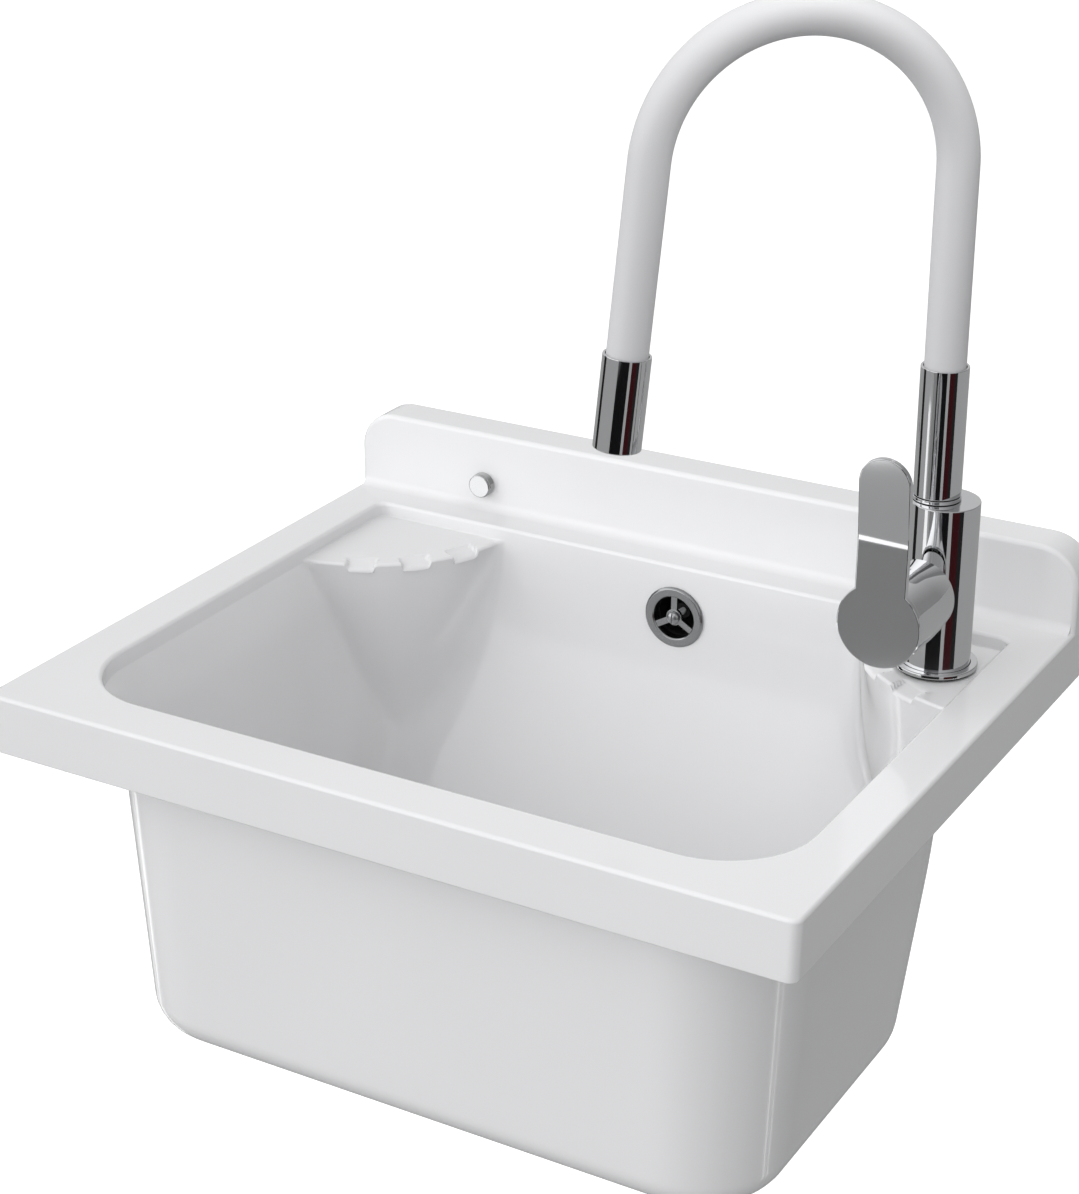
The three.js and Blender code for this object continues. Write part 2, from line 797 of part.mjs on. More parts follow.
// Straight down, round one bend and straight on.
class OverflowRoute extends THREE.CurvePath {
  constructor(start, end) {
    super();
    const corner = new THREE.Vector3(0, start.y, end.z);
    const bendStart = new THREE.Vector3(0, start.y, end.z + pipeBendRadius);
    const bendEnd = new THREE.Vector3(0, start.y - pipeBendRadius, end.z);
    this.add(new THREE.LineCurve3(start, bendStart));
    this.add(new THREE.QuadraticBezierCurve3(bendStart, corner, bendEnd));
    this.add(new THREE.LineCurve3(bendEnd, end));
  }
}

function circleShape(radius, sides) {
  const points = [];
  for (let i = 0; i < sides; i++) {
    const angle = 2 * Math.PI * i / sides;
    points.push(new THREE.Vector2(radius * Math.cos(angle), radius * Math.sin(angle)));
  }
  return points;
}

function pipeAlong(path, outer, inner, sides, steps) {
  const shape = new THREE.Shape(circleShape(outer, sides));
  if (inner > 0) shape.holes.push(new THREE.Path(circleShape(inner, sides).reverse()));
  return solid(new THREE.ExtrudeGeometry(shape, { steps, extrudePath: path, bevelEnabled: false }));
}

const overflowSocketEnd = -overflowDrop - overflowCupRadius - socketLength;
const wastePortHeight = floorUnderside - wastePortDrop;
const wastePortEnd = -wasteSetback + wasteBodyRadius + socketLength;

function makeOverflowPipe() {
  const start = new THREE.Vector3(0, -pipeSetback, overflowSocketEnd + socketDepth);
  const end = new THREE.Vector3(0, wastePortEnd - socketDepth, wastePortHeight);
  return pipeAlong(new OverflowRoute(start, end), pipeRadius, pipeRadius - pipeWall, pipeSides, pipeSteps);
}

// ---------------------------------------------------------------- waste fitting

const recessFloor = floorTop - wasteRecessDepth;

function makeStrainer() {
  const seat = recessFloor + seatGap;
  const cupBottom = seat - strainerCupDepth;
  const cupInside = strainerCupRadius - strainerSheet;
  let body = revolve([
    [0, cupBottom], [strainerCupRadius - strainerBend, cupBottom],
    [strainerCupRadius, cupBottom + strainerBend], [strainerCupRadius, seat], [strainerRadius, seat],
    [strainerRadius - strainerSheet, seat + strainerSheet], [cupInside + strainerSheet, seat + strainerSheet],
    [cupInside, seat], [cupInside, cupBottom + strainerBend + strainerSheet / 2],
    [cupInside - strainerBend / 2, cupBottom + strainerSheet], [0, cupBottom + strainerSheet],
  ]);
  const punch = (radius, segments) => rod(radius, cupBottom - 1, seat, segments);
  strainerHoleRings.forEach(([ringRadius, count]) => {
    for (let i = 0; i < count; i++) {
      const angle = 2 * Math.PI * i / count;
      const place = [ringRadius * Math.cos(angle), ringRadius * Math.sin(angle), 0];
      body = body.subtract(punch(strainerHoleRadius, smallSegments - 2).translate(place));
    }
  });
  return body.subtract(punch(wasteScrewRadius + seatGap, smallSegments));
}

const strainerFloor = recessFloor + seatGap - strainerCupDepth + strainerSheet;
const wasteFlangeTop = floorUnderside - wasteSealThickness - 2 * seatGap;
const wasteWebTop = wasteFlangeTop - wasteWebDrop;

function makeWasteScrew() {
  const seat = strainerFloor + seatGap;
  const top = seat + wasteScrewHeadHeight;
  const tip = wasteWebTop - 2 * wasteWebThickness;
  const screw = revolve([
    [0, tip], [wasteScrewRadius, tip], [wasteScrewRadius, seat], [wasteScrewHeadRadius, seat],
    [wasteScrewHeadRadius - 1, top], [0, top],
  ], smallSegments + 4);
  return screw.subtract(slotCut(wasteScrewHeadRadius, top));
}

function makeWasteSeal() {
  const top = floorUnderside - seatGap;
  return tube(wasteFlangeRadius - 1, wasteHoleRadius, top - wasteSealThickness, top);
}

function makeWasteBody() {
  const top = wasteFlangeTop;
  const shoulder = top - wasteBodyHeight;
  const inside = wasteBodyRadius - plasticWall;
  const outletInside = wasteOutletRadius - plasticWall;
  const end = shoulder - wasteOutletLength;
  const portEnd = wasteBodyRadius + socketLength;
  let body = revolve([
    [outletInside, end], [wasteOutletRadius, end], [wasteOutletRadius, shoulder - plasticWall],
    [wasteBodyRadius - wasteShoulderSlope, shoulder], [wasteBodyRadius, shoulder + wasteShoulderSlope],
    [wasteBodyRadius, top - wasteFlangeThickness], [wasteFlangeRadius, top - wasteFlangeThickness],
    [wasteFlangeRadius, top], [inside, top], [inside, shoulder + wasteShoulderSlope + 1],
    [inside - wasteShoulderSlope + 1, shoulder + plasticWall], [outletInside, shoulder],
  ]);
  const port = rod(pipeRadius + seatGap + plasticWall, inside + 1, portEnd);
  const bore = rod(pipeRadius + seatGap, portEnd - socketDepth - seatGap, portEnd + 1);
  const inlet = rod(pipeRadius - pipeWall, inside - socketDepth, portEnd);
  const drop = wastePortHeight;
  body = body.add(alongY(port, 0, 0, drop)).subtract(alongY(bore.add(inlet), 0, 0, drop));
  const webBottom = wasteWebTop - wasteWebThickness;
  const half = wasteWebThickness / 2;
  [60, 180, 300].forEach((turn) => {
    body = body.add(box(-half, half, 0, inside + 1, webBottom, wasteWebTop).rotate([0, 0, turn]));
  });
  body = body.add(rod(wasteHubRadius, webBottom, wasteWebTop, smallSegments + 2));
  return body.subtract(rod(wasteScrewRadius + seatGap, webBottom - 1, wasteWebTop + 1, smallSegments));
}

// ---------------------------------------------------------------- tap

const tapSealTop = deckTop + seatGap + tapSealThickness;
const tapBodyBottom = tapSealTop + seatGap;
const cartridgeBore = cartridgeRadius + seatGap;

// The branch's frame: its Z runs out along the branch, its Y runs up, its X to the right.
function branchFrame() {
  const frame = new THREE.Group();
  frame.position.set(tapX, -tapSetback, branchHeight);
  frame.rotation.x = Math.PI / 2 - THREE.MathUtils.degToRad(branchTiltDegrees);
  return frame;
}

// The rounded end of the branch, from its full width to where the cartridge's pocket cuts it.
function domeProfile(radius, centre, cut) {
  const end = Math.asin((cut - centre) / radius);
  return [0, 0.2, 0.4, 0.6, 0.8, 1].map((share) => [
    radius * Math.cos(end * share), centre + radius * Math.sin(end * share),
  ]);
}

function makeTapBody() {
  let body = revolve([
    [0, tapBodyBottom], [tapBodyRadius, tapBodyBottom], [tapBodyRadius, tapBodyTop - tapEdgeChamfer],
    [tapBodyRadius - tapEdgeChamfer, tapBodyTop], [0, tapBodyTop],
  ], fineSegments).translate([0, 0, -branchHeight]);
  const tilt = 90 - branchTiltDegrees;
  const branch = revolve([
    [0, 0], ...domeProfile(branchRadius, pivotDistance, branchLength), [0, branchLength],
  ], fineSegments);
  body = body.add(branch.rotate([tilt, 0, 0]));
  const pocket = rod(cartridgeBore, cartridgeStart, branchLength + 1);
  body = body.subtract(pocket.rotate([tilt, 0, 0]));
  body = body.translate([0, 0, branchHeight]);
  const seat = rod(nippleRadius + seatGap, tapBodyTop - nippleSeatDepth, tapBodyTop + 1);
  const waterway = rod(nippleBore, branchHeight, tapBodyTop, smallSegments);
  body = body.subtract(seat.add(waterway).translate([spoutOffset, 0, 0]));
  return body.subtract(rod(tapSpigotRadius + seatGap, tapBodyBottom - 1, tapBodyBottom + tapSpigotLength));
}

// The threaded tail that goes down through the deck, with a spigot that seats in the body.
function makeTapShank() {
  const end = deckTop - tapShankLength;
  const shoulder = tapBodyBottom - seatGap;
  let body = revolve([
    [0, end], [tapShankRadius, end], [tapShankRadius, shoulder], [tapSpigotRadius, shoulder],
    [tapSpigotRadius, shoulder + tapSpigotLength], [0, shoulder + tapSpigotLength],
  ]);
  const inlet = rod(tapInletRadius, end - 1, end + tapInletDepth, smallSegments);
  [-tapInletSpacing / 2, tapInletSpacing / 2].forEach((x) => {
    body = body.subtract(inlet.translate([x, 0, 0]));
  });
  return body;
}

function makeTapFlange() {
  const low = tapSealTop + seatGap;
  const high = deckTop + seatGap + tapFlangeHeight;
  const inner = tapBodyRadius + seatGap;
  return revolve([
    [inner, low], [tapFlangeRadius - tapEdgeChamfer, low], [tapFlangeRadius, low + tapEdgeChamfer],
    [tapFlangeRadius, high - tapEdgeChamfer], [tapFlangeRadius - tapEdgeChamfer, high], [inner, high],
  ], fineSegments);
}

function makeTapSeal() {
  return tube(tapFlangeRadius - tapSealInset, tapShankRadius + seatGap, deckTop + seatGap, tapSealTop);
}

function makeTapGasket() {
  const top = deckUnderside - seatGap;
  return tube(tapGasketRadius, tapShankRadius + seatGap, top - tapGasketThickness, top);
}

function makeTapPlate() {
  const top = deckUnderside - 2 * seatGap - tapGasketThickness;
  return tube(tapGasketRadius, tapShankRadius + seatGap, top - tapPlateThickness, top);
}

function makeTapNut() {
  const top = deckUnderside - 3 * seatGap - tapGasketThickness - tapPlateThickness;
  const nut = rod(tapNutRadius, top - tapNutHeight, top, 6);
  return nut.subtract(rod(tapShankRadius + seatGap, top - tapNutHeight - 1, top + 1));
}

// ---------------------------------------------------------------- cartridge and lever, along the branch

const hingeDistance = pivotDistance + hingeRise;

function makeCartridge() {
  const nose = cartridgeNutBore + seatGap;
  return revolve([
    [0, cartridgeStart + seatGap], [cartridgeRadius, cartridgeStart + seatGap],
    [cartridgeRadius, cartridgeRimEnd], [nose, cartridgeRimEnd], [nose, cartridgeEnd], [0, cartridgeEnd],
  ]);
}

function makeCartridgeNut() {
  return tube(cartridgeRadius, cartridgeNutBore, cartridgeRimEnd + seatGap, cartridgeNutEnd);
}

// A rod across the branch at the lever's hinge.
function acrossHinge(radius, half) {
  return rod(radius, -half, half, smallSegments + 2).rotate([0, 90, 0]).translate([0, 0, hingeDistance]);
}

function makeCarrier() {
  const foot = cartridgeEnd + seatGap;
  const half = carrierSlot / 2;
  const slot = box(-half, half, -carrierRadius - 1, carrierRadius + 1, foot + carrierFloor, carrierEnd + 1);
  return rod(carrierRadius, foot, carrierEnd).subtract(slot)
    .subtract(acrossHinge(pivotPinRadius + pinGap, carrierRadius + 1));
}

function makePivotPin() {
  return acrossHinge(pivotPinRadius, carrierRadius - pinInset);
}

function makeStem() {
  const half = stemWidth / 2;
  return box(-half, half, -half, half, hingeDistance, stemEnd).add(acrossHinge(half, half))
    .subtract(acrossHinge(pivotPinRadius + pinGap, stemWidth));
}

function leverOutline() {
  const shape = new THREE.Shape();
  const join = Math.asin(leverArmHalfWidth / leverDiscRadius);
  const endCentre = leverArmTop - leverArmHalfWidth;
  shape.absarc(0, 0, leverDiscRadius, Math.PI / 2 + join, Math.PI / 2 - join + 2 * Math.PI, false);
  shape.absarc(0, endCentre, leverArmHalfWidth, 0, Math.PI, false);
  return shape;
}

// The handle plate: a disc with an arm that leans a little more forward above a faint kink.
function leverPlate() {
  const edge = leverEdgeChamfer;
  const flat = solid(new THREE.ExtrudeGeometry(leverOutline(), {
    depth: leverPlateThickness - 2 * edge,
    bevelEnabled: true,
    bevelThickness: edge,
    bevelSize: edge,
    bevelOffset: -edge,
    bevelSegments: 1,
    curveSegments: 11,
  }).translate(0, 0, edge - leverPlateThickness));
  const lower = flat.trimByPlane([0, -1, 0], -leverKinkHeight);
  const upper = flat.trimByPlane([0, 1, 0], leverKinkHeight - seatGap)
    .translate([0, -leverKinkHeight, 0])
    .rotate([leverKinkDegrees, 0, 0])
    .translate([0, leverKinkHeight, 0]);
  return lower.add(upper).rotate([leverPlateLeanDegrees, 0, 0]).translate([0, 0, leverReach]);
}

function makeLever() {
  const back = leverReach - leverPlateThickness;
  const roof = back - leverBellRoof;
  // The bell runs a little way into the plate, which leans, so that no gap shows between them.
  const inPlate = back + leverPlateThickness / 3;
  const bulge = leverBellBulge.map(([along, inset]) => [leverDiscRadius - inset, leverBellStart + along]);
  const bell = revolve([
    [0, leverBossStart], [leverBossRadius, leverBossStart], [leverBossRadius, roof],
    [leverBellCavity, roof], [leverBellCavity, leverBellStart], [leverBellRadius, leverBellStart],
    ...bulge, [leverDiscRadius - seatGap, inPlate], [0, inPlate],
  ], fineSegments);
  const half = stemWidth / 2 + seatGap;
  const socket = box(-half, half, -half, half, leverBossStart - 1, stemEnd + seatGap);
  const screwHole = rod(grubScrewRadius + seatGap, 0, leverDiscRadius + 1, smallSegments + 2)
    .rotate([90, 0, 0])
    .translate([0, 0, grubScrewDistance]);
  return leverPlate().add(bell).subtract(socket).subtract(screwHole);
}

function makeGrubScrew() {
  const from = stemWidth / 2 + seatGap;
  return rod(grubScrewRadius, from, from + grubScrewLength, smallSegments + 2)
    .rotate([90, 0, 0])
    .translate([0, 0, grubScrewDistance]);
}

// ---------------------------------------------------------------- spout

const spoutX = tapX + spoutOffset;
const spoutFoot = tapBodyTop + seatGap;
const collarBottom = spoutFoot + swivelRingThickness + seatGap;
const spoutDirection = new THREE.Vector3(
  Math.cos(THREE.MathUtils.degToRad(spoutAngleDegrees)),
  Math.sin(THREE.MathUtils.degToRad(spoutAngleDegrees)),
  0,
);

const nippleFoot = tapBodyTop - nippleSeatDepth + seatGap;
const nippleGroove = nippleFoot + nippleGrooveRise;

function makeNipple() {
  const groove = nippleRadius - nippleGrooveDepth;
  return revolve([
    [nippleBore, nippleFoot], [nippleRadius - nippleChamfer, nippleFoot],
    [nippleRadius, nippleFoot + nippleChamfer], [nippleRadius, nippleGroove], [groove, nippleGroove],
    [groove, nippleGroove + nippleGrooveWidth], [nippleRadius, nippleGroove + nippleGrooveWidth],
    [nippleRadius, spoutFoot], [nippleThreadRadius, spoutFoot + nippleChamfer],
    [nippleThreadRadius, nippleThreadTop], [nippleBarbRadius, nippleThreadTop],
    [nippleBarbRadius, nippleBarbTop - nippleChamfer], [nippleBarbRadius - nippleChamfer / 2, nippleBarbTop],
    [nippleBore, nippleBarbTop],
  ], smallSegments + 4);
}

function makeSwivelSeal() {
  const middle = nippleRadius - swivelSealSection;
  const ring = new THREE.TorusGeometry(middle, swivelSealSection, 6, roundSegments);
  ring.translate(0, 0, nippleGroove + nippleGrooveWidth / 2);
  return solid(ring);
}

function makeSwivelRing() {
  return tube(swivelRingRadius, nippleRadius + seatGap, spoutFoot, spoutFoot + swivelRingThickness);
}

function makeCollar() {
  const seat = hoseRadius + seatGap;
  return revolve([
    [nippleThreadRadius + seatGap, collarBottom], [collarRadius, collarBottom],
    [collarRadius, collarTop - sleeveChamfer], [collarRadius - sleeveChamfer, collarTop],
    [seat, collarTop], [seat, collarSeat], [nippleThreadRadius + seatGap, collarSeat],
  ], fineSegments - 4);
}

class Gooseneck extends THREE.Curve {
  constructor(from, to) {
    super();
    this.from = from;
    this.lean = THREE.MathUtils.degToRad(gooseneckLeanDegrees);
    this.sweep = Math.PI - this.lean;
    this.rise = gooseneckStart - from;
    this.arcLength = gooseneckRadius * this.sweep;
    this.arcEndHeight = gooseneckStart + gooseneckRadius * Math.sin(this.lean);
    this.fall = (this.arcEndHeight - to) / Math.cos(this.lean);
    this.total = this.rise + this.arcLength + this.fall;
  }

  // Reach from the spout's axis and height, at a distance along the centre line.
  planar(distance) {
    if (distance <= this.rise) return [0, this.from + distance];
    const along = distance - this.rise;
    if (along <= this.arcLength) {
      const angle = along / gooseneckRadius;
      return [gooseneckRadius * (1 - Math.cos(angle)), gooseneckStart + gooseneckRadius * Math.sin(angle)];
    }
    const left = along - this.arcLength;
    const reach = gooseneckRadius * (1 + Math.cos(this.lean));
    return [reach + left * Math.sin(this.lean), this.arcEndHeight - left * Math.cos(this.lean)];
  }

  getPoint(t, target = new THREE.Vector3()) {
    const [reach, height] = this.planar(t * this.total);
    return target.set(spoutDirection.x * reach, spoutDirection.y * reach, height);
  }
}

const nozzleLean = THREE.MathUtils.degToRad(gooseneckLeanDegrees);
const hoseEnd = nozzleTop - (nozzleSocket - seatGap) * Math.cos(nozzleLean);

function makeHose() {
  const path = new Gooseneck(collarSeat + seatGap, hoseEnd);
  return pipeAlong(path, hoseRadius, hoseBore, hoseSides, hoseSteps);
}

function makeHoseCore() {
  const path = new Gooseneck(collarSeat + seatGap, hoseEnd);
  return pipeAlong(path, hoseBore - looseGap, coreBore, coreSides, hoseSteps);
}

// The nozzle's frame: its Z runs back up the hose, and its origin is the middle of its mouth.
function nozzleFrame() {
  const path = new Gooseneck(collarSeat, nozzleTop - nozzleLength * Math.cos(nozzleLean));
  const mouth = path.getPoint(1);
  const up = spoutDirection.clone().multiplyScalar(-Math.sin(nozzleLean)).setZ(Math.cos(nozzleLean));
  const frame = new THREE.Group();
  frame.position.set(spoutX + mouth.x, -tapSetback + mouth.y, mouth.z);
  frame.quaternion.setFromUnitVectors(new THREE.Vector3(0, 0, 1), up);
  return frame;
}

const aeratorTop = aeratorRecess + aeratorHeight;
const aeratorSealFoot = aeratorTop + seatGap;

function makeNozzle() {
  const seat = nozzleLength - nozzleSocket;
  const pocket = aeratorSealFoot + aeratorSealThickness + seatGap;
  return revolve([
    [aeratorRadius + seatGap, 0], [nozzleRadius - sleeveChamfer, 0], [nozzleRadius, sleeveChamfer],
    [nozzleRadius, nozzleLength - sleeveChamfer], [nozzleRadius - sleeveChamfer, nozzleLength],
    [hoseRadius + seatGap, nozzleLength], [hoseRadius + seatGap, seat], [coreBore, seat],
    [coreBore, pocket], [aeratorRadius + seatGap, pocket],
  ], fineSegments - 4);
}

function makeAerator() {
  let body = rod(aeratorRadius, aeratorRecess, aeratorTop);
  const inside = aeratorRadius - aeratorRim;
  const pitch = 2 * inside / aeratorSlots;
  const halfSlot = pitch * aeratorSlotShare / 2;
  for (let i = 0; i < aeratorSlots; i++) {
    const y = pitch * (i + 0.5) - inside;
    const half = Math.sqrt(inside ** 2 - y ** 2);
    body = body.subtract(box(-half, half, y - halfSlot, y + halfSlot, 0, aeratorTop + 1));
  }
  return body;
}

function makeAeratorSeal() {
  return tube(aeratorRadius, coreBore + 1, aeratorSealFoot, aeratorSealFoot + aeratorSealThickness);
}

// ---------------------------------------------------------------- assembly

const sink = new THREE.Group();

function place(part, x = 0, y = 0, z = 0) {
  part.position.set(x, y, z);
  return part;
}

sink.add(mesh('basin_bowl', makeBowl(), glossyWhite()));
sink.add(mesh('basin_rim', makeRim(), glossyWhite()));
sink.add(mesh('basin_splashback', makeSplashback(), glossyWhite()));

[['left', -1], ['right', 1]].forEach(([side, sign]) => {
  const fixing = new THREE.Group();
  fixing.position.set(sign * screwOffset, 0, screwHeight);
  fixing.rotation.x = Math.PI / 2;
  fixing.add(mesh(`wall_screw_${side}`, makeWallScrew(), steel()));
  fixing.add(mesh(`screw_washer_${side}`, makeScrewWasher(), whitePlastic()));
  fixing.add(mesh(`screw_cap_${side}`, makeScrewCap(), chrome()));
  sink.add(fixing);
});

const overflowFront = new THREE.Group();
overflowFront.position.set(0, bowlBackTop - seatGap + rosetteNeckDepth, -overflowDrop);
overflowFront.rotation.x = Math.PI / 2;
overflowFront.add(mesh('overflow_rosette', makeRosette(), chrome()));
overflowFront.add(mesh('overflow_screw', makeOverflowScrew(), steel()));
sink.add(overflowFront);

const overflowBack = new THREE.Group();
overflowBack.position.set(0, backWallOutside, -overflowDrop);
overflowBack.rotation.x = -Math.PI / 2;
overflowBack.add(mesh('overflow_seal', makeOverflowSeal(), blackRubber()));
overflowBack.add(mesh('overflow_body', makeOverflowBody(), greyPlastic()));
sink.add(overflowBack);
sink.add(mesh('overflow_pipe', makeOverflowPipe(), whitePlastic()));

[
  ['waste_strainer', makeStrainer(), steel()],
  ['waste_screw', makeWasteScrew(), steel()],
  ['waste_seal', makeWasteSeal(), blackRubber()],
  ['waste_body', makeWasteBody(), whitePlastic()],
].forEach(([name, body, finish]) => sink.add(place(mesh(name, body, finish), 0, -wasteSetback)));

[
  ['tap_body', makeTapBody(), chrome()],
  ['tap_shank', makeTapShank(), brass()],
  ['tap_flange', makeTapFlange(), chrome()],
  ['tap_seal', makeTapSeal(), blackRubber()],
  ['tap_gasket', makeTapGasket(), blackRubber()],
  ['tap_backing_plate', makeTapPlate(), steel()],
  ['tap_nut', makeTapNut(), brass()],
].forEach(([name, body, finish]) => sink.add(place(mesh(name, body, finish), tapX, -tapSetback)));

const branch = branchFrame();
[
  ['cartridge', makeCartridge(), whitePlastic()],
  ['cartridge_nut', makeCartridgeNut(), brass()],
  ['cartridge_carrier', makeCarrier(), greyPlastic()],
  ['lever_pivot_pin', makePivotPin(), steel()],
  ['lever_stem', makeStem(), brass()],
  ['lever', makeLever(), chrome()],
  ['lever_grub_screw', makeGrubScrew(), steel()],
].forEach(([name, body, finish]) => branch.add(mesh(name, body, finish)));
sink.add(branch);

[
  ['spout_nipple', makeNipple(), brass()],
  ['spout_seal', makeSwivelSeal(), blackRubber()],
  ['spout_swivel_ring', makeSwivelRing(), chrome()],
  ['spout_collar', makeCollar(), chrome()],
  ['spout_hose', makeHose(), whiteSilicone()],
  ['spout_hose_core', makeHoseCore(), greyPlastic()],
].forEach(([name, body, finish]) => sink.add(place(mesh(name, body, finish), spoutX, -tapSetback)));

const nozzle = nozzleFrame();
[
  ['nozzle_sleeve', makeNozzle(), chrome()],
  ['aerator', makeAerator(), whitePlastic()],
  ['aerator_seal', makeAeratorSeal(), blackRubber()],
].forEach(([name, body, finish]) => nozzle.add(mesh(name, body, finish)));
sink.add(nozzle);

export default sink;
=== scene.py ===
"""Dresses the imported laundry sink: fine meshes, materials, a plain stage, lights and the camera."""

import math

import bmesh
import bpy
import numpy as np
from mathutils import Matrix, Vector


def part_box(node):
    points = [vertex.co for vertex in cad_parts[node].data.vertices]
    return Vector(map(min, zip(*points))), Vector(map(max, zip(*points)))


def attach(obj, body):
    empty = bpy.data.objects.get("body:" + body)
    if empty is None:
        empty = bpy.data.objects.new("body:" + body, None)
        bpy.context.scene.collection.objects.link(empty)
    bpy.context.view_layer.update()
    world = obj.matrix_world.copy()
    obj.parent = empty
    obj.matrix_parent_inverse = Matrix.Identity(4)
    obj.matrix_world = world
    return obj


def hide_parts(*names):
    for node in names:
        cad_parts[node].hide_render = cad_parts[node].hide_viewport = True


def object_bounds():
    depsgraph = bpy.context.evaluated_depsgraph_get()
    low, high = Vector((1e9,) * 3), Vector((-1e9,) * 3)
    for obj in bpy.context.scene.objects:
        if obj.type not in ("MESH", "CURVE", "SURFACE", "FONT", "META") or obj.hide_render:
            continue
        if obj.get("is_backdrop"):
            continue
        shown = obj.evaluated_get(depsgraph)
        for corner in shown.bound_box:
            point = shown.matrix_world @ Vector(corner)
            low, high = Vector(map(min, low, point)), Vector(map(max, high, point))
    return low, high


bl_info = {
    "name": "Laundry Sink Dresser",
    "version": (1, 0, 0),
    "blender": (4, 5, 0),
    "location": "3D View > Sidebar > Laundry Sink",
    "description": "Builds the visible pieces of a wall-hung laundry sink around its packed model",
    "category": "Object",
}

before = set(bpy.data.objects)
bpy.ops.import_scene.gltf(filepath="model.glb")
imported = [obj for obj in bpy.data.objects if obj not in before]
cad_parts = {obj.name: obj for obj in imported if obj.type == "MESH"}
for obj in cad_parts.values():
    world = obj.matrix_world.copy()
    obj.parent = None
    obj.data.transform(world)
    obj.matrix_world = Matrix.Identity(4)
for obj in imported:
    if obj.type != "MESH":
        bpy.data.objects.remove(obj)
CAD_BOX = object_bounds()

MM = 0.001
FULL_TURN = 2 * math.pi


# ---------------------------------------------------------------- sizes read from the frame


def centre_of(node):
    low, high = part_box(node)
    return (low + high) / 2


def size_of(node):
    low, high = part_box(node)
    return high - low


BASIN_NODES = ("basin_bowl", "basin_rim", "basin_splashback")
SINK_WIDTH = size_of("basin_rim").x / MM
SINK_DEPTH = 450.0
SPLASH_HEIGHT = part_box("basin_splashback")[1].z / MM
TAP_X = centre_of("tap_gasket").x / MM
TAP_Y = centre_of("tap_gasket").y / MM
SPOUT_X = centre_of("spout_collar").x / MM
SPOUT_Y = centre_of("spout_collar").y / MM


# ---------------------------------------------------------------- properties


class SinkBasinSizes(bpy.types.PropertyGroup):
    """Sizes of the moulded basin, in millimetres."""

    wall: bpy.props.FloatProperty(
        name="Wall", description="Thickness of the bowl's wall in millimetres", default=6.0, min=3.0)
    lip_radius: bpy.props.FloatProperty(
        name="Lip radius", description="Rounding from the rim into the bowl in millimetres", default=3.0, min=1.0)
    rim_edge: bpy.props.FloatProperty(
        name="Rim edge", description="Rounding of the rim's outer edge in millimetres", default=2.5, min=0.5)
    deck_drop: bpy.props.FloatProperty(
        name="Deck drop", description="Depth of the soap dish and tap deck below the rim in millimetres",
        default=10.0, min=2.0)
    notch_depth: bpy.props.FloatProperty(
        name="Notch depth", description="Depth of the drain notches in millimetres", default=3.0, min=0.5)
    crease_softness: bpy.props.FloatProperty(
        name="Crease softness", description="Blend between the deck's column and the bowl in millimetres",
        default=6.0, min=1.0)


class SinkFinishes(bpy.types.PropertyGroup):
    """Colours of the sink's materials."""

    basin: bpy.props.FloatVectorProperty(
        name="Basin", description="Colour of the moulded basin", subtype="COLOR", size=3,
        default=(0.835, 0.835, 0.843), min=0, max=1)
    chrome: bpy.props.FloatVectorProperty(
        name="Chrome", description="Colour of the chrome plating", subtype="COLOR", size=3,
        default=(0.86, 0.865, 0.875), min=0, max=1)
    hose: bpy.props.FloatVectorProperty(
        name="Hose", description="Colour of the spout's sleeve", subtype="COLOR", size=3,
        default=(0.62, 0.62, 0.63), min=0, max=1)
    floor: bpy.props.FloatVectorProperty(
        name="Floor", description="Colour of the plain floor", subtype="COLOR", size=3,
        default=(0.93, 0.93, 0.93), min=0, max=1)


class SinkCamera(bpy.types.PropertyGroup):
    """The camera's place and lens."""

    place: bpy.props.FloatVectorProperty(
        name="Place", description="Where the camera stands", subtype="TRANSLATION", size=3,
        default=(0.7489, -1.5383, 0.6969))
    tilt: bpy.props.FloatProperty(
        name="Tilt", description="Angle between straight down and the line of sight", subtype="ANGLE",
        default=math.radians(66.514))
    turn: bpy.props.FloatProperty(
        name="Turn", description="Turn of the line of sight to the left", subtype="ANGLE",
        default=math.radians(30.058))
    lens: bpy.props.FloatProperty(
        name="Lens", description="Focal length in millimetres on a 36 mm high frame", default=78.97, min=10)


# ---------------------------------------------------------------- mesh helpers


def mixed(start, end, share):
    return start + (end - start) * share


def bezier(points, share):
    """The spot at a share of the way along a curve from its first point to its third."""
    start, bulge, end = points
    return start * (1 - share) ** 2 + bulge * 2 * share * (1 - share) + end * share ** 2


def circle(radius, height, count):
    return [(radius * math.cos(FULL_TURN * k / count), radius * math.sin(FULL_TURN * k / count), height)
            for k in range(count)]


def rounded_path(points, closed=False, steps=5):
    """Rounds the corners of a flat outline of (x, y, radius) points and returns (x, y) pairs."""
    result = []
    for i, (x, y, radius) in enumerate(points):
        here = Vector((x, y))
        if radius <= 0 or (not closed and i in (0, len(points) - 1)):
            result.append((x, y))
            continue
        before = Vector(points[i - 1][:2]) - here
        after = Vector(points[(i + 1) % len(points)][:2]) - here
        run = min(radius / math.tan(before.angle(after) / 2), before.length * 0.49, after.length * 0.49)
        bend = here + before.normalized() * run, here, here + after.normalized() * run
        result += [tuple(bezier(bend, k / steps)) for k in range(steps + 1)]
    return result


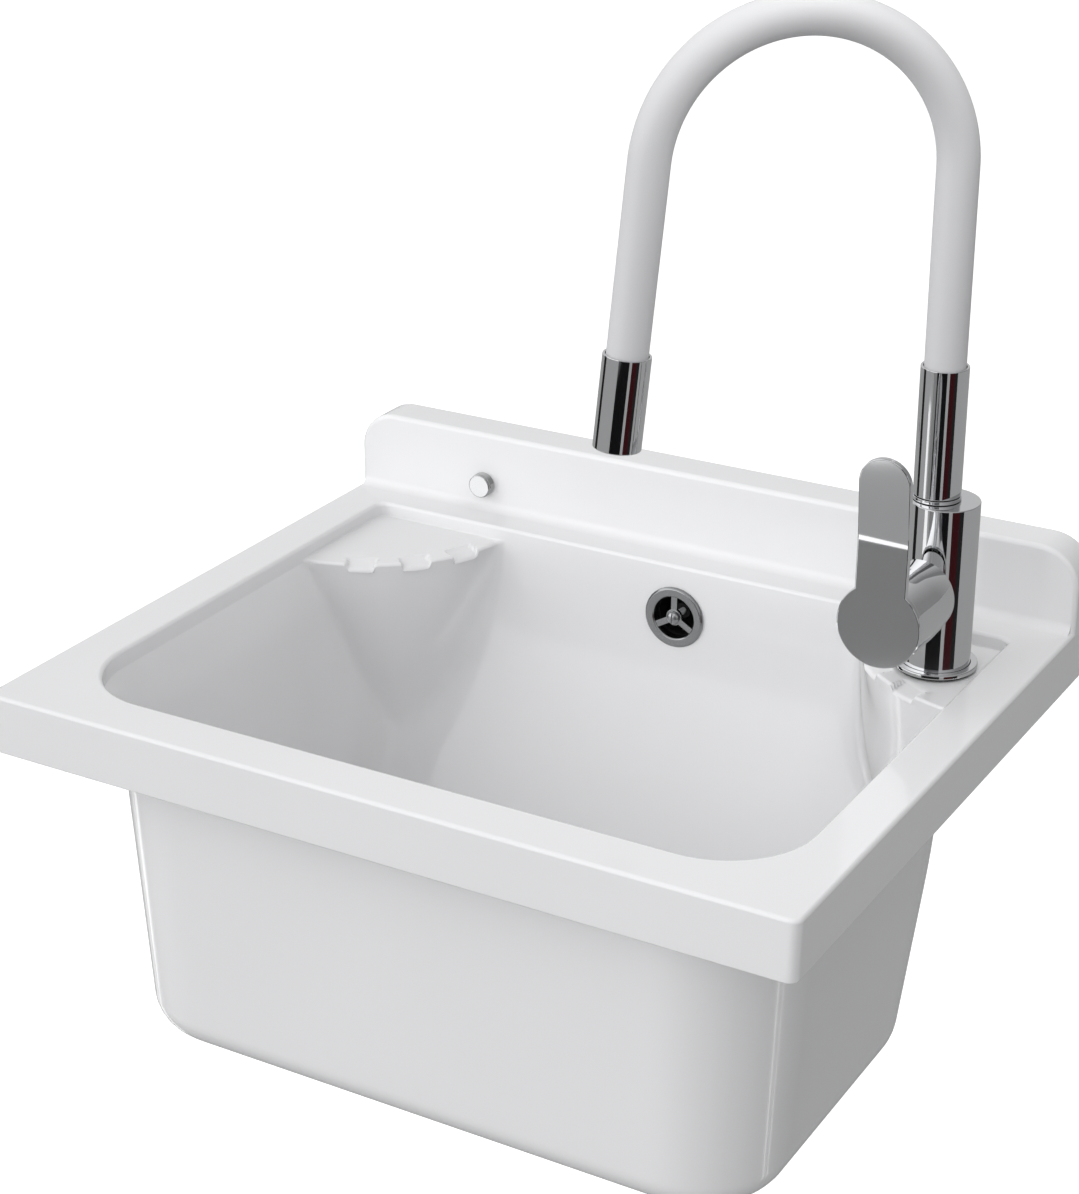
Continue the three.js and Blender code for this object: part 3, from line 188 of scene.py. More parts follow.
def lathe(profile, segments=96):
    """A closed solid of revolution about Z from (radius, height) pairs, given anticlockwise."""
    vertices, rows = [], []
    for radius, height in profile:
        on_axis = radius < 1e-9
        rows.append([len(vertices) + (0 if on_axis else k) for k in range(segments)])
        vertices += [(0.0, 0.0, height)] if on_axis else circle(radius, height, segments)
    if profile[0][0] >= 1e-9:
        rows.append(rows[0])
    faces = []
    for low, high in zip(rows, rows[1:]):
        for k in range(segments):
            n = (k + 1) % segments
            loop = [low[k], low[n], high[n], high[k]]
            face = [v for i, v in enumerate(loop) if v != loop[i - 1]]
            if len(face) > 2:
                faces.append(face)
    return vertices, faces


def skin(rings, close=False):
    """Quads between rings of equal count, with flat ends, or joined end to end when close is set."""
    count, levels = len(rings[0]), len(rings)
    faces = []
    for level in range(levels if close else levels - 1):
        low, high = level * count, ((level + 1) % levels) * count
        for k in range(count):
            n = (k + 1) % count
            faces.append((low + k, low + n, high + n, high + k))
    if not close:
        faces += [range(count - 1, -1, -1), range((levels - 1) * count, levels * count)]
    return [tuple(p) for ring in rings for p in ring], faces


def shape_of(maker):
    """The vertices and faces of a mesh in the making, which is let go."""
    maker.verts.index_update()
    shape = [tuple(v.co) for v in maker.verts], [[v.index for v in f.verts] for f in maker.faces]
    maker.free()
    return shape


def solid_box(low, high, edge=0.0):
    """A box from its two corners, with its edges cut back by `edge`."""
    maker = bmesh.new()
    bmesh.ops.create_cube(maker, size=1.0)
    for vertex in maker.verts:
        vertex.co = Vector((low[i] + high[i]) / 2 + vertex.co[i] * (high[i] - low[i]) for i in range(3))
    if edge > 0:
        bmesh.ops.bevel(maker, geom=maker.edges[:], offset=edge, segments=2, affect="EDGES", profile=0.7)
    return shape_of(maker)


def moved(shape, matrix):
    vertices, faces = shape
    return [tuple(matrix @ Vector(v)) for v in vertices], faces


def joined(*shapes):
    vertices, faces = [], []
    for more_vertices, more_faces in shapes:
        start = len(vertices)
        vertices.extend(more_vertices)
        faces.extend([start + i for i in face] for face in more_faces)
    return vertices, faces


def bare_object(name, shape):
    """An object from a shape given in millimetres."""
    vertices, faces = shape
    mesh = bpy.data.meshes.new(name)
    mesh.from_pydata([(x * MM, y * MM, z * MM) for x, y, z in vertices], [], [list(f) for f in faces])
    mesh.validate()
    made = bpy.data.objects.new(name, mesh)
    bpy.context.scene.collection.objects.link(made)
    return made


ADD, CUT = "UNION", "DIFFERENCE"


def combine(target, shape, operation):
    """Joins or cuts a closed shape into an object for good."""
    tool = bare_object("tool", shape)
    modifier = target.modifiers.new("combine", "BOOLEAN")
    modifier.operation = operation
    modifier.solver = "MANIFOLD"
    modifier.object = tool
    old = target.data
    target.data = bpy.data.meshes.new_from_object(target.evaluated_get(bpy.context.evaluated_depsgraph_get()))
    target.modifiers.clear()
    bpy.data.meshes.remove(old)
    bpy.data.objects.remove(tool, do_unlink=True)
    if not target.data.vertices:
        raise RuntimeError(f"{target.name} is empty after {operation.lower()}")


def make(nodes, shape, slot, matrix=None, steps=(), body="sink", finish=None, angle=32.0):
    """A piece worked by (operation, shape, matrix) steps, set in place, smoothed and handed to the frame."""
    nodes = (nodes,) if isinstance(nodes, str) else nodes
    piece = bare_object(nodes[0] + "_fine", shape)
    for operation, tool, *spot in steps:
        combine(piece, moved(tool, *spot) if spot else tool, operation)
    mesh = piece.data
    if matrix is not None:
        shift = matrix.copy()
        shift.translation = matrix.translation * MM
        mesh.transform(shift)
    mesh.name = piece.name
    mesh.materials.clear()
    mesh.materials.append(finish_of(finish or slot))
    mesh.shade_smooth()
    mesh.set_sharp_from_angle(angle=math.radians(angle))
    piece.modifiers.new("even_normals", "WEIGHTED_NORMAL").keep_sharp = True
    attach(piece, body)
    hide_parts(*nodes)
    return piece


def place(x=0.0, y=0.0, z=0.0, turn_x=0.0, turn_z=0.0):
    return (
        Matrix.Translation((x, y, z))
        @ Matrix.Rotation(math.radians(turn_z), 4, "Z")
        @ Matrix.Rotation(math.radians(turn_x), 4, "X")
    )


# ---------------------------------------------------------------- shader nodes and groups


def feed(tree, socket, value):
    """Sets a node's input to a plain value, or links it to another node's output."""
    if isinstance(value, bpy.types.NodeSocket):
        tree.links.new(value, socket)
    else:
        socket.default_value = value


def fill(tree, node, **inputs):
    for name, value in inputs.items():
        feed(tree, node.inputs[name.replace("_", " ")], value)
    return node


def new_node(tree, kind, **inputs):
    return fill(tree, tree.nodes.new("ShaderNode" + kind), **inputs)


def math_node(tree, operation, first, second):
    node = new_node(tree, "Math")
    node.operation = operation
    feed(tree, node.inputs[0], first)
    feed(tree, node.inputs[1], second)
    return node.outputs[0]


def noise_node(tree, scale, detail=3.0, roughness=0.5, stretch=None):
    source = new_node(tree, "TexCoord").outputs["Object"]
    if stretch:
        source = new_node(tree, "Mapping", Vector=source, Scale=stretch).outputs[0]
    return new_node(tree, "TexNoise", Vector=source, Scale=scale, Detail=detail, Roughness=roughness).outputs["Fac"]


def group(name, inputs, outputs):
    """A shader group with sockets of (default, highest): its tree, what it is given and its last node."""
    tree = bpy.data.node_groups.new(name, "ShaderNodeTree")
    for socket, (default, highest) in inputs.items():
        made = tree.interface.new_socket(socket, in_out="INPUT", socket_type="NodeSocketFloat")
        made.default_value, made.min_value, made.max_value = default, 0, highest
    for socket in outputs:
        tree.interface.new_socket(socket, in_out="OUTPUT", socket_type="NodeSocketFloat")
    return tree, tree.nodes.new("NodeGroupInput").outputs, tree.nodes.new("NodeGroupOutput")


def build_handling_group():
    """Faint smears and hairline scratches: a roughness and a height for a bump."""
    tree, given, put = group("Handling Marks", {
        "Base Roughness": (0.1, 1), "Smear Amount": (0.03, 1), "Smear Scale": (14, 500), "Scratch Amount": (0.2, 1),
    }, ("Roughness", "Height"))
    smear = math_node(tree, "MULTIPLY", noise_node(tree, given["Smear Scale"], 4.0, 0.6), given["Smear Amount"])
    lines = noise_node(tree, 60.0, 2.0, 0.5, (1.0, 1.0, 14.0))
    fill(tree, put, Roughness=math_node(tree, "ADD", given["Base Roughness"], smear),
         Height=math_node(tree, "MULTIPLY", lines, given["Scratch Amount"]))


def build_moulding_group():
    """The slow waviness of moulded plastic: a tone between 0 and 1 and a height for a bump."""
    tree, given, put = group("Moulded Surface", {
        "Wave Scale": (9, 200), "Grain Scale": (260, 3000), "Grain Share": (0.15, 1)}, ("Tone", "Height"))
    wave = noise_node(tree, given["Wave Scale"], 2.0, 0.4)
    grain = math_node(tree, "MULTIPLY", noise_node(tree, given["Grain Scale"], 2.0), given["Grain Share"])
    fill(tree, put, Tone=wave, Height=math_node(tree, "ADD", wave, grain))


def group_node(tree, name, **inputs):
    node = new_node(tree, "Group")
    node.node_tree = bpy.data.node_groups[name]
    return fill(tree, node, **inputs).outputs


# ---------------------------------------------------------------- materials


def new_material(name, **inputs):
    """A material, its tree and its Principled shader with these inputs set."""
    made = bpy.data.materials.new(name)
    made.use_nodes = True
    return made, made.node_tree, fill(made.node_tree, made.node_tree.nodes["Principled BSDF"], **inputs)


def toned(colour, share):
    return tuple(min(1.0, c * share) for c in colour)


def two_tones(tree, factor, dark, light):
    ramp = new_node(tree, "ValToRGB", Fac=factor)
    for element, position, colour in zip(ramp.color_ramp.elements, (0.3, 0.7), (dark, light)):
        element.position = position
        element.color = (*colour, 1)
    return ramp.outputs["Color"]


def blend(tree, share, first, second):
    """A blend of two colours, each given as numbers or as another node's output."""
    node = new_node(tree, "Mix")
    node.data_type = "RGBA"
    feed(tree, node.inputs[0], share)
    for socket, value in zip([s for s in node.inputs if s.type == "RGBA"], (first, second)):
        feed(tree, socket, (*value, 1) if isinstance(value, tuple) else value)
    return next(s for s in node.outputs if s.type == "RGBA")


def surfaced(name, colour, roughness, wave, contrast, smear, scratch, bump_of, strength, distance, **inputs):
    """A material with a slow change of tone, handling marks and a faint bump."""
    made, tree, shader = new_material(name, Roughness=roughness, **inputs)
    surface = group_node(tree, "Moulded Surface", Wave_Scale=wave)
    marks = group_node(tree, "Handling Marks", Base_Roughness=roughness, Smear_Amount=smear, Scratch_Amount=scratch)
    height = {"surface": surface, "marks": marks}[bump_of]["Height"]
    bump = new_node(tree, "Bump", Strength=strength, Distance=distance, Height=height)
    tones = two_tones(tree, surface["Tone"], toned(colour, 1 - contrast), toned(colour, 1 + contrast))
    fill(tree, shader, Base_Color=tones, Roughness=marks["Roughness"], Normal=bump.outputs["Normal"])
    return made


def moulded_plastic(name, colour, roughness, wave, height, contrast, coat=0.0):
    return surfaced(name, colour, roughness, wave, contrast, 0.05, 0.2, "surface", 0.25, height,
                    Coat_Weight=coat, Coat_Roughness=0.04)


def plated_metal(name, colour, roughness, scratch, contrast=0.01):
    return surfaced(name, colour, roughness, 30.0, contrast, 0.03, scratch, "marks", 0.04, 0.00004, Metallic=1.0)


FINISHES = {}


def finish_of(slot):
    """The material of a slot or of a look within it; all of them are made at the first call."""
    if not FINISHES:
        build_handling_group()
        build_moulding_group()
        finish = bpy.context.scene.sink_finishes
        FINISHES.update({
            "basin_white": moulded_plastic("Glossy White Moulding", finish.basin, 0.16, 7.0, 0.00015, 0.01, 0.4),
            "chrome": plated_metal("Polished Chrome", finish.chrome, 0.035, 0.1),
            "satin_chrome": plated_metal("Satin Chrome", (0.56, 0.57, 0.58), 0.2, 0.3, 0.03),
            # the overflow body's plastic, near black as painted shade for the dark hollow seen through the rosette
            "painted_shade_plastic": moulded_plastic("Dark Plastic", (0.012, 0.012, 0.013), 0.5, 20.0, 0.0001, 0.06),
            "steel": plated_metal("Satin Steel", (0.62, 0.63, 0.64), 0.28, 0.8, 0.06),
            "brass": plated_metal("Turned Brass", (0.72, 0.52, 0.24), 0.22, 0.6, 0.05),
            "black_rubber": moulded_plastic("Black Rubber", (0.022, 0.022, 0.024), 0.62, 40.0, 0.0002, 0.15),
            "white_plastic": moulded_plastic("Satin White Plastic", (0.72, 0.73, 0.74), 0.42, 20.0, 0.0001, 0.02),
            "grey_plastic": moulded_plastic("Grey Plastic", (0.2, 0.21, 0.22), 0.45, 20.0, 0.0001, 0.06),
            "hose_white": moulded_plastic("White Silicone", finish.hose, 0.36, 12.0, 0.00008, 0.012),
        })
    return FINISHES[slot]


# ---------------------------------------------------------------- the basin's sections

RIM_HALF = SINK_WIDTH / 2
# the bowl's walls and corner rounding, each at the top and at the floor
BOWL_HALF = (235.7, 220.0)
BOWL_FRONT = (-408.7, -396.2)
FRONT_RADIUS = (67.0, 52.0)
BACK_RADIUS = (110.0, 52.0)
BOWL_BACK_TOP = -57.0
BOWL_BACK_FLOOR = -140.0
BOWL_DEPTH = 248.0
KNEE_DEPTH = 86.0
KNEE_ROUND = 55.0
FLOOR_FILLET = 18.0
OPENING_HALF = 242.0
OPENING_FRONT = -414.3
OPENING_RADIUS = 57.0
OPENING_DEPTH = 10.0
FLARE_DEPTHS = (46.0, 38.0)
APRON_HEIGHT = 40.5
APRON_DRAFT = 1.6
APRON_WALL = 5.0
APRON_EDGE = 1.5
RIM_THICKNESS = 5.0
RIM_CORNER = 6.0
COLUMN_DEPTH = 155.0
COLUMN_APEX = np.array((200.0, -102.0))
DECK_CURVE = [np.array(point) for point in ((242.0, -155.0), (152.0, -137.0), (140.0, -50.0))]
DECK_RUN_ON = 170.0
DECK_SLOPE = 0.4
DECK_PLATE = 5.0
DECK_EDGE = 2.2
DECK_FOOT = 1.2
# how far the rings of the deck stand in from its edge, close enough to carry the notches
DECK_STEPS = (1.0, 1.9, 2.8, 3.7, 4.6, 5.5, 6.4, 7.3, 8.2, 9.0, 9.8, 10.6, 11.6, 14.0)
NOTCH_PLACES = (0.24, 0.5, 0.76)
NOTCH_WIDTH = 20.0
NOTCH_REACH = 12.0
SIGHT_CENTRE = np.array((0.0, -230.0))
# the angle from one line of sight to the next, and where the decks and the rim's corners need it smaller
SIGHT_STEP, DECK_STEP, CORNER_STEP = 0.016, 0.0065, 0.0035
DECK_SIGHTS = (0.3, 1.02)
CORNER_SIGHTS = 0.02
LONGEST_REACH = 500.0
HALVINGS = 42
OUT_OF_REACH = 900.0
# how widely the column's crease is blended at its side and at its back, on the right and on the left
RIGHT_SPREAD = (26.0, 62.0)
LEFT_SPREAD = (0.0, 30.0)
OVERFLOW_DROP = 38.0
WASTE_Y = centre_of("waste_seal").y / MM
OVERFLOW_HOLE = 17.5
WASTE_HOLE = 31
TAP_HOLE = 16


def sizes():
    return bpy.context.scene.sink_basin


def quarter(steps, first=0):
    """(1 - cosine, 1 - sine) at even steps of a quarter turn, to round an edge with."""
    for k in range(first, steps + 1):
        angle = math.pi / 2 * k / steps
        yield 1 - math.cos(angle), 1 - math.sin(angle)


def bowl_back(depth):
    """Where the back wall stands: straight down to a rounded knee, then sloping to the floor."""
    slope = (BOWL_BACK_TOP - BOWL_BACK_FLOOR) / (BOWL_DEPTH - KNEE_DEPTH)
    past = max(depth - KNEE_DEPTH, -KNEE_ROUND)
    if past >= KNEE_ROUND:
        return BOWL_BACK_TOP - slope * past
    return BOWL_BACK_TOP - slope * (past + KNEE_ROUND) ** 2 / (4 * KNEE_ROUND)


def flare(depth, end):
    """How far the walls have opened out: 1 at the rim's opening and 0 at the end depth."""
    return min(1.0, max(0.0, (end - depth) / (end - OPENING_DEPTH))) ** 1.5


def sight_angles():
    """The angles at which every section is sampled, closer together at the rim's corners and the decks."""
    corners = [math.atan2(y - SIGHT_CENTRE[1], RIM_HALF) for y in (0, -SINK_DEPTH)]
    angle, angles = -math.pi / 2, []
    while angle < math.pi / 2 - 1e-6:
        angles.append(angle)
        step = DECK_STEP if DECK_SIGHTS[0] < angle < DECK_SIGHTS[1] else SIGHT_STEP
        if any(abs(angle - corner) < CORNER_SIGHTS for corner in corners):
            step = CORNER_STEP
        angle += step
    right = np.array(angles)
    left = math.pi - right[right > -math.pi / 2 + 1e-6][::-1]
    return np.concatenate((right, [math.pi / 2], left))


ANGLES = sight_angles()
SIGHTS = np.stack((np.cos(ANGLES), np.sin(ANGLES)), axis=1)
ON_RIGHT = np.cos(ANGLES) >= 0
FOLDED = np.where(ON_RIGHT, ANGLES, math.pi - ANGLES)


def rounded_rectangle_reach(half, front, back, front_radius, back_radius):
    """How far each line of sight runs inside a rounded rectangle."""
    middle = (front + back) / 2
    low, high = np.zeros(len(ANGLES)), np.full(len(ANGLES), LONGEST_REACH)
    for _ in range(HALVINGS):
        reach = (low + high) / 2
        spot = SIGHT_CENTRE + SIGHTS * reach[:, None]
        radius = np.where(spot[:, 1] < middle, front_radius, back_radius)
        over_x = np.abs(spot[:, 0]) - half + radius
        over_y = np.abs(spot[:, 1] - middle) - (back - front) / 2 + radius
        outside = np.hypot(np.maximum(over_x, 0), np.maximum(over_y, 0))
        inside = np.minimum(np.maximum(over_x, over_y), 0) + outside - radius < 0
        low, high = np.where(inside, reach, low), np.where(inside, high, reach)
    return (low + high) / 2


def column_reach(share, outward):
    """How far each line of sight runs before it meets the column at this share of its full size."""
    curve = bezier(DECK_CURVE, np.linspace(0, 1, 90)[:, None])
    first, last = curve[0] - curve[1], curve[-1] - curve[-2]
    edge = np.vstack((curve[0] + first / np.linalg.norm(first) * DECK_RUN_ON, curve,
                      curve[-1] + last / np.linalg.norm(last) * DECK_RUN_ON))
    offset = COLUMN_APEX + (edge - COLUMN_APEX) * share - SIGHT_CENTRE
    angle = np.arctan2(offset[:, 1], offset[:, 0])
    order = np.argsort(angle)
    reach = np.hypot(offset[:, 0], offset[:, 1]) + outward
    return np.interp(FOLDED, angle[order], reach[order], left=OUT_OF_REACH, right=OUT_OF_REACH)


def soft_nearer(first, second, softness):
    """The nearer of two reaches, with a rounded hand-over between them."""
    share = np.clip(0.5 + 0.5 * (second - first) / softness, 0, 1)
    return second + (first - second) * share - softness * share * (1 - share)


def bowl_reach(depth, grow=0.0, inset=0.0):
    """The bowl's section at a depth, grown by a wall or drawn in for the floor's rounding."""
    share = min(1.0, depth / BOWL_DEPTH)
    past_knee = max(0.0, depth - KNEE_DEPTH) / (BOWL_DEPTH - KNEE_DEPTH)
    out = grow - inset
    opened = flare(depth, FLARE_DEPTHS[grow > 0])
    walls = rounded_rectangle_reach(
        mixed(mixed(*BOWL_HALF, share), OPENING_HALF, opened) + out,
        mixed(mixed(*BOWL_FRONT, share), OPENING_FRONT, opened) - out,
        bowl_back(depth) + out,
        max(4.0, mixed(mixed(*FRONT_RADIUS, share), OPENING_RADIUS, opened) + out),
        max(4.0, mixed(*BACK_RADIUS, past_knee) + out))
    column_share = 1 - (depth - sizes().deck_drop) / COLUMN_DEPTH
    if column_share <= 0.02:
        return walls
    backward = np.clip((FOLDED - 0.4) / 0.4, 0, 1)
    spread = np.where(ON_RIGHT, mixed(*RIGHT_SPREAD, backward), mixed(*LEFT_SPREAD, backward))
    softness = sizes().crease_softness * (0.4 + 0.6 * column_share) + spread * 4 * column_share * (1 - column_share)
    return soft_nearer(walls, column_reach(column_share, grow), softness)


def opening_reach(lip):
    """The rim's opening, square at the back where the decks fill its corners."""
    return rounded_rectangle_reach(
        OPENING_HALF + lip, OPENING_FRONT - lip, BOWL_BACK_TOP + lip * 0.8, OPENING_RADIUS + lip, 8.0)


def rim_reach(inset, height=0.0):
    """The rim's outer edge, with the apron's draft."""
    draft = APRON_DRAFT * height / APRON_HEIGHT
    return rounded_rectangle_reach(
        RIM_HALF - inset + draft, -SINK_DEPTH + inset - draft, -0.02 - min(inset, 0.5),
        max(1.0, RIM_CORNER - inset * 0.5), 1.0)


def ring_at(reach, height):
    """Points of one section, all at one height or each at its own."""
    reach = np.broadcast_to(np.asarray(reach, float), (len(ANGLES),))
    level = np.broadcast_to(np.asarray(height, float), (len(ANGLES),))
    return np.column_stack((SIGHT_CENTRE + SIGHTS * reach[:, None], level))


def notch_mask(points):
    """How deep a drain notch is cut here, sloping down to the deck's edge, with steep sides."""
    start, bulge, end = DECK_CURVE
    spots = np.column_stack((np.abs(points[:, 0]), points[:, 1]))
    mask = np.zeros(len(points))
    for share in NOTCH_PLACES:
        offset = spots - bezier(DECK_CURVE, share)
        along = (bulge - start) * (1 - share) + (end - bulge) * share
        along = along / np.linalg.norm(along)
        out = offset @ np.array((-along[1], along[0]))
        edge = np.minimum(NOTCH_WIDTH / 2 - np.abs(offset @ along), NOTCH_REACH - np.abs(out))
        cut = np.clip(edge / 0.9 + 0.5, 0, 1)
        mask = np.maximum(mask, cut * cut * (3 - 2 * cut) * (0.25 + 1.15 * np.clip(1 + out / NOTCH_REACH, 0, 1)))
    return mask


def inner_sections():
    """Rings from the middle of the floor up the inside of the bowl to its deck edges."""
    rings = [ring_at(20.0, -BOWL_DEPTH), ring_at(80.0, -BOWL_DEPTH)]
    for rise, inset in quarter(8):
        depth = BOWL_DEPTH - FLOOR_FILLET * rise
        rings.append(ring_at(bowl_reach(depth, 0.0, FLOOR_FILLET * inset), -depth))
    top = sizes().deck_drop + sizes().notch_depth + 4.5
    for start, end, count in ((BOWL_DEPTH - FLOOR_FILLET, COLUMN_DEPTH + 12, 5), (COLUMN_DEPTH + 8, top, 24)):
        rings += [ring_at(bowl_reach(depth), -depth) for depth in np.linspace(start, end, count)[1:]]
    return rings


def deck_sections():
    """Rings over the rounded deck edges, across the decks and up to the recess's foot."""
    edge = bowl_reach(sizes().deck_drop)
    foot = opening_reach(0.0)
    width = np.maximum(foot - edge, 0.0)
    bend = np.minimum(DECK_EDGE, width * 0.4)
    level = -sizes().deck_drop - DECK_SLOPE
    rings = [ring_at(edge + bend * out, level - DECK_EDGE * drop) for out, drop in quarter(4)]
    room = np.maximum(width - bend - 2 * DECK_FOOT, 0)
    for k, step in enumerate(DECK_STEPS):
        share = (k + 1) / len(DECK_STEPS)
        rings.append(ring_at(edge + bend + np.minimum(step, room * share), level + DECK_SLOPE * 0.4 * share))
    inner = edge + bend + np.minimum(DECK_STEPS[-1], room)
    for share in (0.35, 0.7, 1.0):
        reach = inner + np.maximum(foot - DECK_FOOT - inner, 0) * share
        rings.append(ring_at(reach, level + DECK_SLOPE * (0.4 + 0.6 * share)))
    for ring in rings:
        ring[:, 2] -= sizes().notch_depth * notch_mask(ring)
    return rings


def rim_sections():
    """Rings up the recess, over the lip, across the rim and down the apron to its lower edge."""
    drop, lip, edge = sizes().deck_drop, sizes().lip_radius, sizes().rim_edge
    foot = DECK_FOOT * np.clip((opening_reach(0.0) - bowl_reach(drop)) / 4, 0, 1)
    rings = [ring_at(opening_reach(0.0) - foot * back, -drop + DECK_FOOT * rise) for rise, back in quarter(3, 1)]
    rings += [ring_at(opening_reach(lip * out), -lip * fall) for out, fall in quarter(8, 1)]
    rings += [ring_at(rim_reach(edge * inset), -edge * fall) for fall, inset in quarter(6)]
    rings += [ring_at(rim_reach(0.0, height), height) for height in (-15.0, -28.0, -APRON_HEIGHT + APRON_EDGE)]
    rings += [ring_at(rim_reach(APRON_EDGE * inset, -APRON_HEIGHT), -APRON_HEIGHT + APRON_EDGE * rise)
              for inset, rise in quarter(4, 1)]
    return rings


def outer_sections():
    """Rings up the inside of the apron, under the rim and decks, and down the outside of the bowl."""
    under, wall = -RIM_THICKNESS, sizes().wall
    rings = [
        ring_at(rim_reach(APRON_WALL - 1, -APRON_HEIGHT), -APRON_HEIGHT),
        ring_at(rim_reach(APRON_WALL, -APRON_HEIGHT), -APRON_HEIGHT + 1.0),
        ring_at(rim_reach(APRON_WALL, under), under - 2.0),
        ring_at(rim_reach(APRON_WALL + 2.0, under), under),
    ]
    plate = sizes().deck_drop + DECK_PLATE
    outside = opening_reach(0.0) + wall
    rings += [ring_at(outside + 5.0 * out, under - 5.0 * fall) for fall, out in quarter(4, 1)]
    rings.append(ring_at(outside, -plate + 0.6))
    top = bowl_reach(plate, wall)
    rings += [ring_at(outside + (top - outside) * share, -plate - 0.4 * share) for share in (0.02, 0.5, 0.97)]
    low = BOWL_DEPTH - FLOOR_FILLET
    for start, end, count in ((plate + 2.0, COLUMN_DEPTH + 8, 14), (COLUMN_DEPTH + 14, low, 4)):
        rings += [ring_at(bowl_reach(depth, wall), -depth) for depth in np.linspace(start, end, count)]
    fillet, bottom = FLOOR_FILLET + wall, BOWL_DEPTH + wall
    for inset, rise in quarter(9, 1):
        depth = bottom - fillet * rise
        rings.append(ring_at(bowl_reach(min(depth, BOWL_DEPTH), wall, fillet * inset), -depth))
    return rings + [ring_at(80.0, -bottom), ring_at(20.0, -bottom)]


# ---------------------------------------------------------------- the splashback

SPLASH_THICKNESS = 30.0
SPLASH_CORNER = 28.0
SPLASH_EDGE = 3.5
SPLASH_WALL = 4.0
SPLASH_FILLET = 7.0
SPLASH_RIBS = {-226: 2, -113: 2, -56: 2, 0: 5, 56: 2, 113: 2, 226: 2}
SCREW_X = centre_of("screw_cap_right").x / MM
SCREW_Z = centre_of("screw_cap_right").z / MM
SCREW_BOSS = 10
SCREW_HOLE = 4.3


def splash_outline(y, inset):
    """The splashback's outline at one depth, drawn in at its ends and its top."""
    half, top, radius = RIM_HALF - inset, SPLASH_HEIGHT - inset, SPLASH_CORNER - inset
    ring = [(-half, y, -3.0), (half, y, -3.0)]
    for x, start in ((half - radius, 0.0), (-half + radius, 90.0)):
        for k in range(13):
            angle = math.radians(start + 90.0 * k / 12)
            ring.append((x + radius * math.cos(angle), y, top - radius + radius * math.sin(angle)))
    return ring


def splash_shape():
    """The splashback's slab, with a rounded front edge."""
    rings = [splash_outline(y, inset) for y, inset in ((-0.02, 0.7), (-0.3, 0.2), (-1.0, 0.0))]
    rings += [splash_outline(-SPLASH_THICKNESS + SPLASH_EDGE * back, SPLASH_EDGE * inset)
              for inset, back in quarter(6)]
    return skin(rings)


def splash_root_shape():
    """The rounded foot of the splashback, run from end to end along X."""
    front = -SPLASH_THICKNESS
    profile = [(front + 2, -1.5), (front + 2, SPLASH_FILLET)]
    profile += [(front - SPLASH_FILLET * out, SPLASH_FILLET * up - 0.03) for out, up in quarter(8)]
    profile.append((front - SPLASH_FILLET, -1.5))
    return skin([[(x, y, z) for y, z in profile] for x in (2.5 - RIM_HALF, RIM_HALF - 2.5)])


def splash_hollow_shapes():
    """The pockets in the back of the splashback, between its ribs."""
    ends = (-RIM_HALF + SPLASH_WALL, RIM_HALF - SPLASH_WALL)
    stops = [ends[0], *SPLASH_RIBS, ends[1]]
    top, corner = SPLASH_HEIGHT - SPLASH_WALL, SPLASH_CORNER - SPLASH_WALL
    for left, right in zip(stops, stops[1:]):
        low, high = left + SPLASH_RIBS.get(left, 0), right - SPLASH_RIBS.get(right, 0)
        path = rounded_path([(low, 0.5, 3), (high, 0.5, 3), (high, top, corner if right in ends else 3),
                             (low, top, corner if left in ends else 3)], closed=True, steps=6)
        yield skin([[(x, y, z) for x, z in path] for y in (3.0, -SPLASH_THICKNESS + SPLASH_WALL)])


# ---------------------------------------------------------------- shapes for the small pieces


def rounded_lathe(corners, segments=96, steps=4):
    """A ring of revolution from (radius, height, rounding) corners, given anticlockwise."""
    return lathe(rounded_path(corners, closed=True, steps=steps), segments)


def spun(corners, segments=96, steps=4):
    """A solid of revolution from corners given upwards, closed flat at both ends."""
    ends = (0, corners[0][1], 0), (0, corners[-1][1], 0)
    return lathe(rounded_path([ends[0], *corners, ends[1]], steps=steps), segments)


def rod(radius, low, high, segments):
    return lathe([(0, low), (radius, low), (radius, high), (0, high)], segments)


def disc(radius, low, high, edge, segments):
    return spun([(radius, low, edge), (radius, high, edge)], segments)


def pipe_piece(outer, inner, low, high, edge=0.4, segments=96):
    return rounded_lathe([(inner, low, edge), (outer, low, edge), (outer, high, edge), (inner, high, edge)], segments)


def threaded_rod(radius, pitch, depth, low, high, stops, segments=40):
    """A rod with a real thread between two heights; stops are (radius, height) rings beyond its top."""
    rings = []
    count = int((high - low) / pitch * 8)
    for k in range(count + 1):
        height = mixed(low, high, k / count)
        fade = min(1.0, (height - low) / (2 * pitch), (high - height) / pitch)
        ring = []
        for i in range(segments):
            turn = i / segments
            wave = abs(((height / pitch - turn) % 1.0) * 2 - 1)
            reach = radius - depth * (1 - fade * (1 - wave))
            ring.append((reach * math.cos(FULL_TURN * turn), reach * math.sin(FULL_TURN * turn), height))
        rings.append(ring)
    return skin(rings + [circle(reach, height, segments) for reach, height in stops])


def sweep(path, side, outer, inner=0.0, sides=48):
    """A round bar, or a pipe when inner is set, along points of one plane whose normal is side."""
    points, side = [Vector(p) for p in path], Vector(side)

    def rings_of(radius, order):
        rings = []
        for k in order:
            ahead = points[min(k + 1, len(points) - 1)] - points[max(k - 1, 0)]
            up = ahead.normalized().cross(side)
            rings.append([points[k] + (side * math.cos(a) - up * math.sin(a)) * -radius
                          for a in (-FULL_TURN * i / sides for i in range(sides))])
        return rings

    rings = rings_of(outer, range(len(points)))
    if inner <= 0:
        return skin(rings)
    return skin(rings + rings_of(inner, reversed(range(len(points)))), close=True)


def driver_slot(radius, top, width, depth):
    """The step that cuts a driver's slot across the head of a screw."""
    return CUT, solid_box((-width / 2, -radius - 1, top - depth), (width / 2, radius + 1, top + 2), 0.12)


# ---------------------------------------------------------------- operators


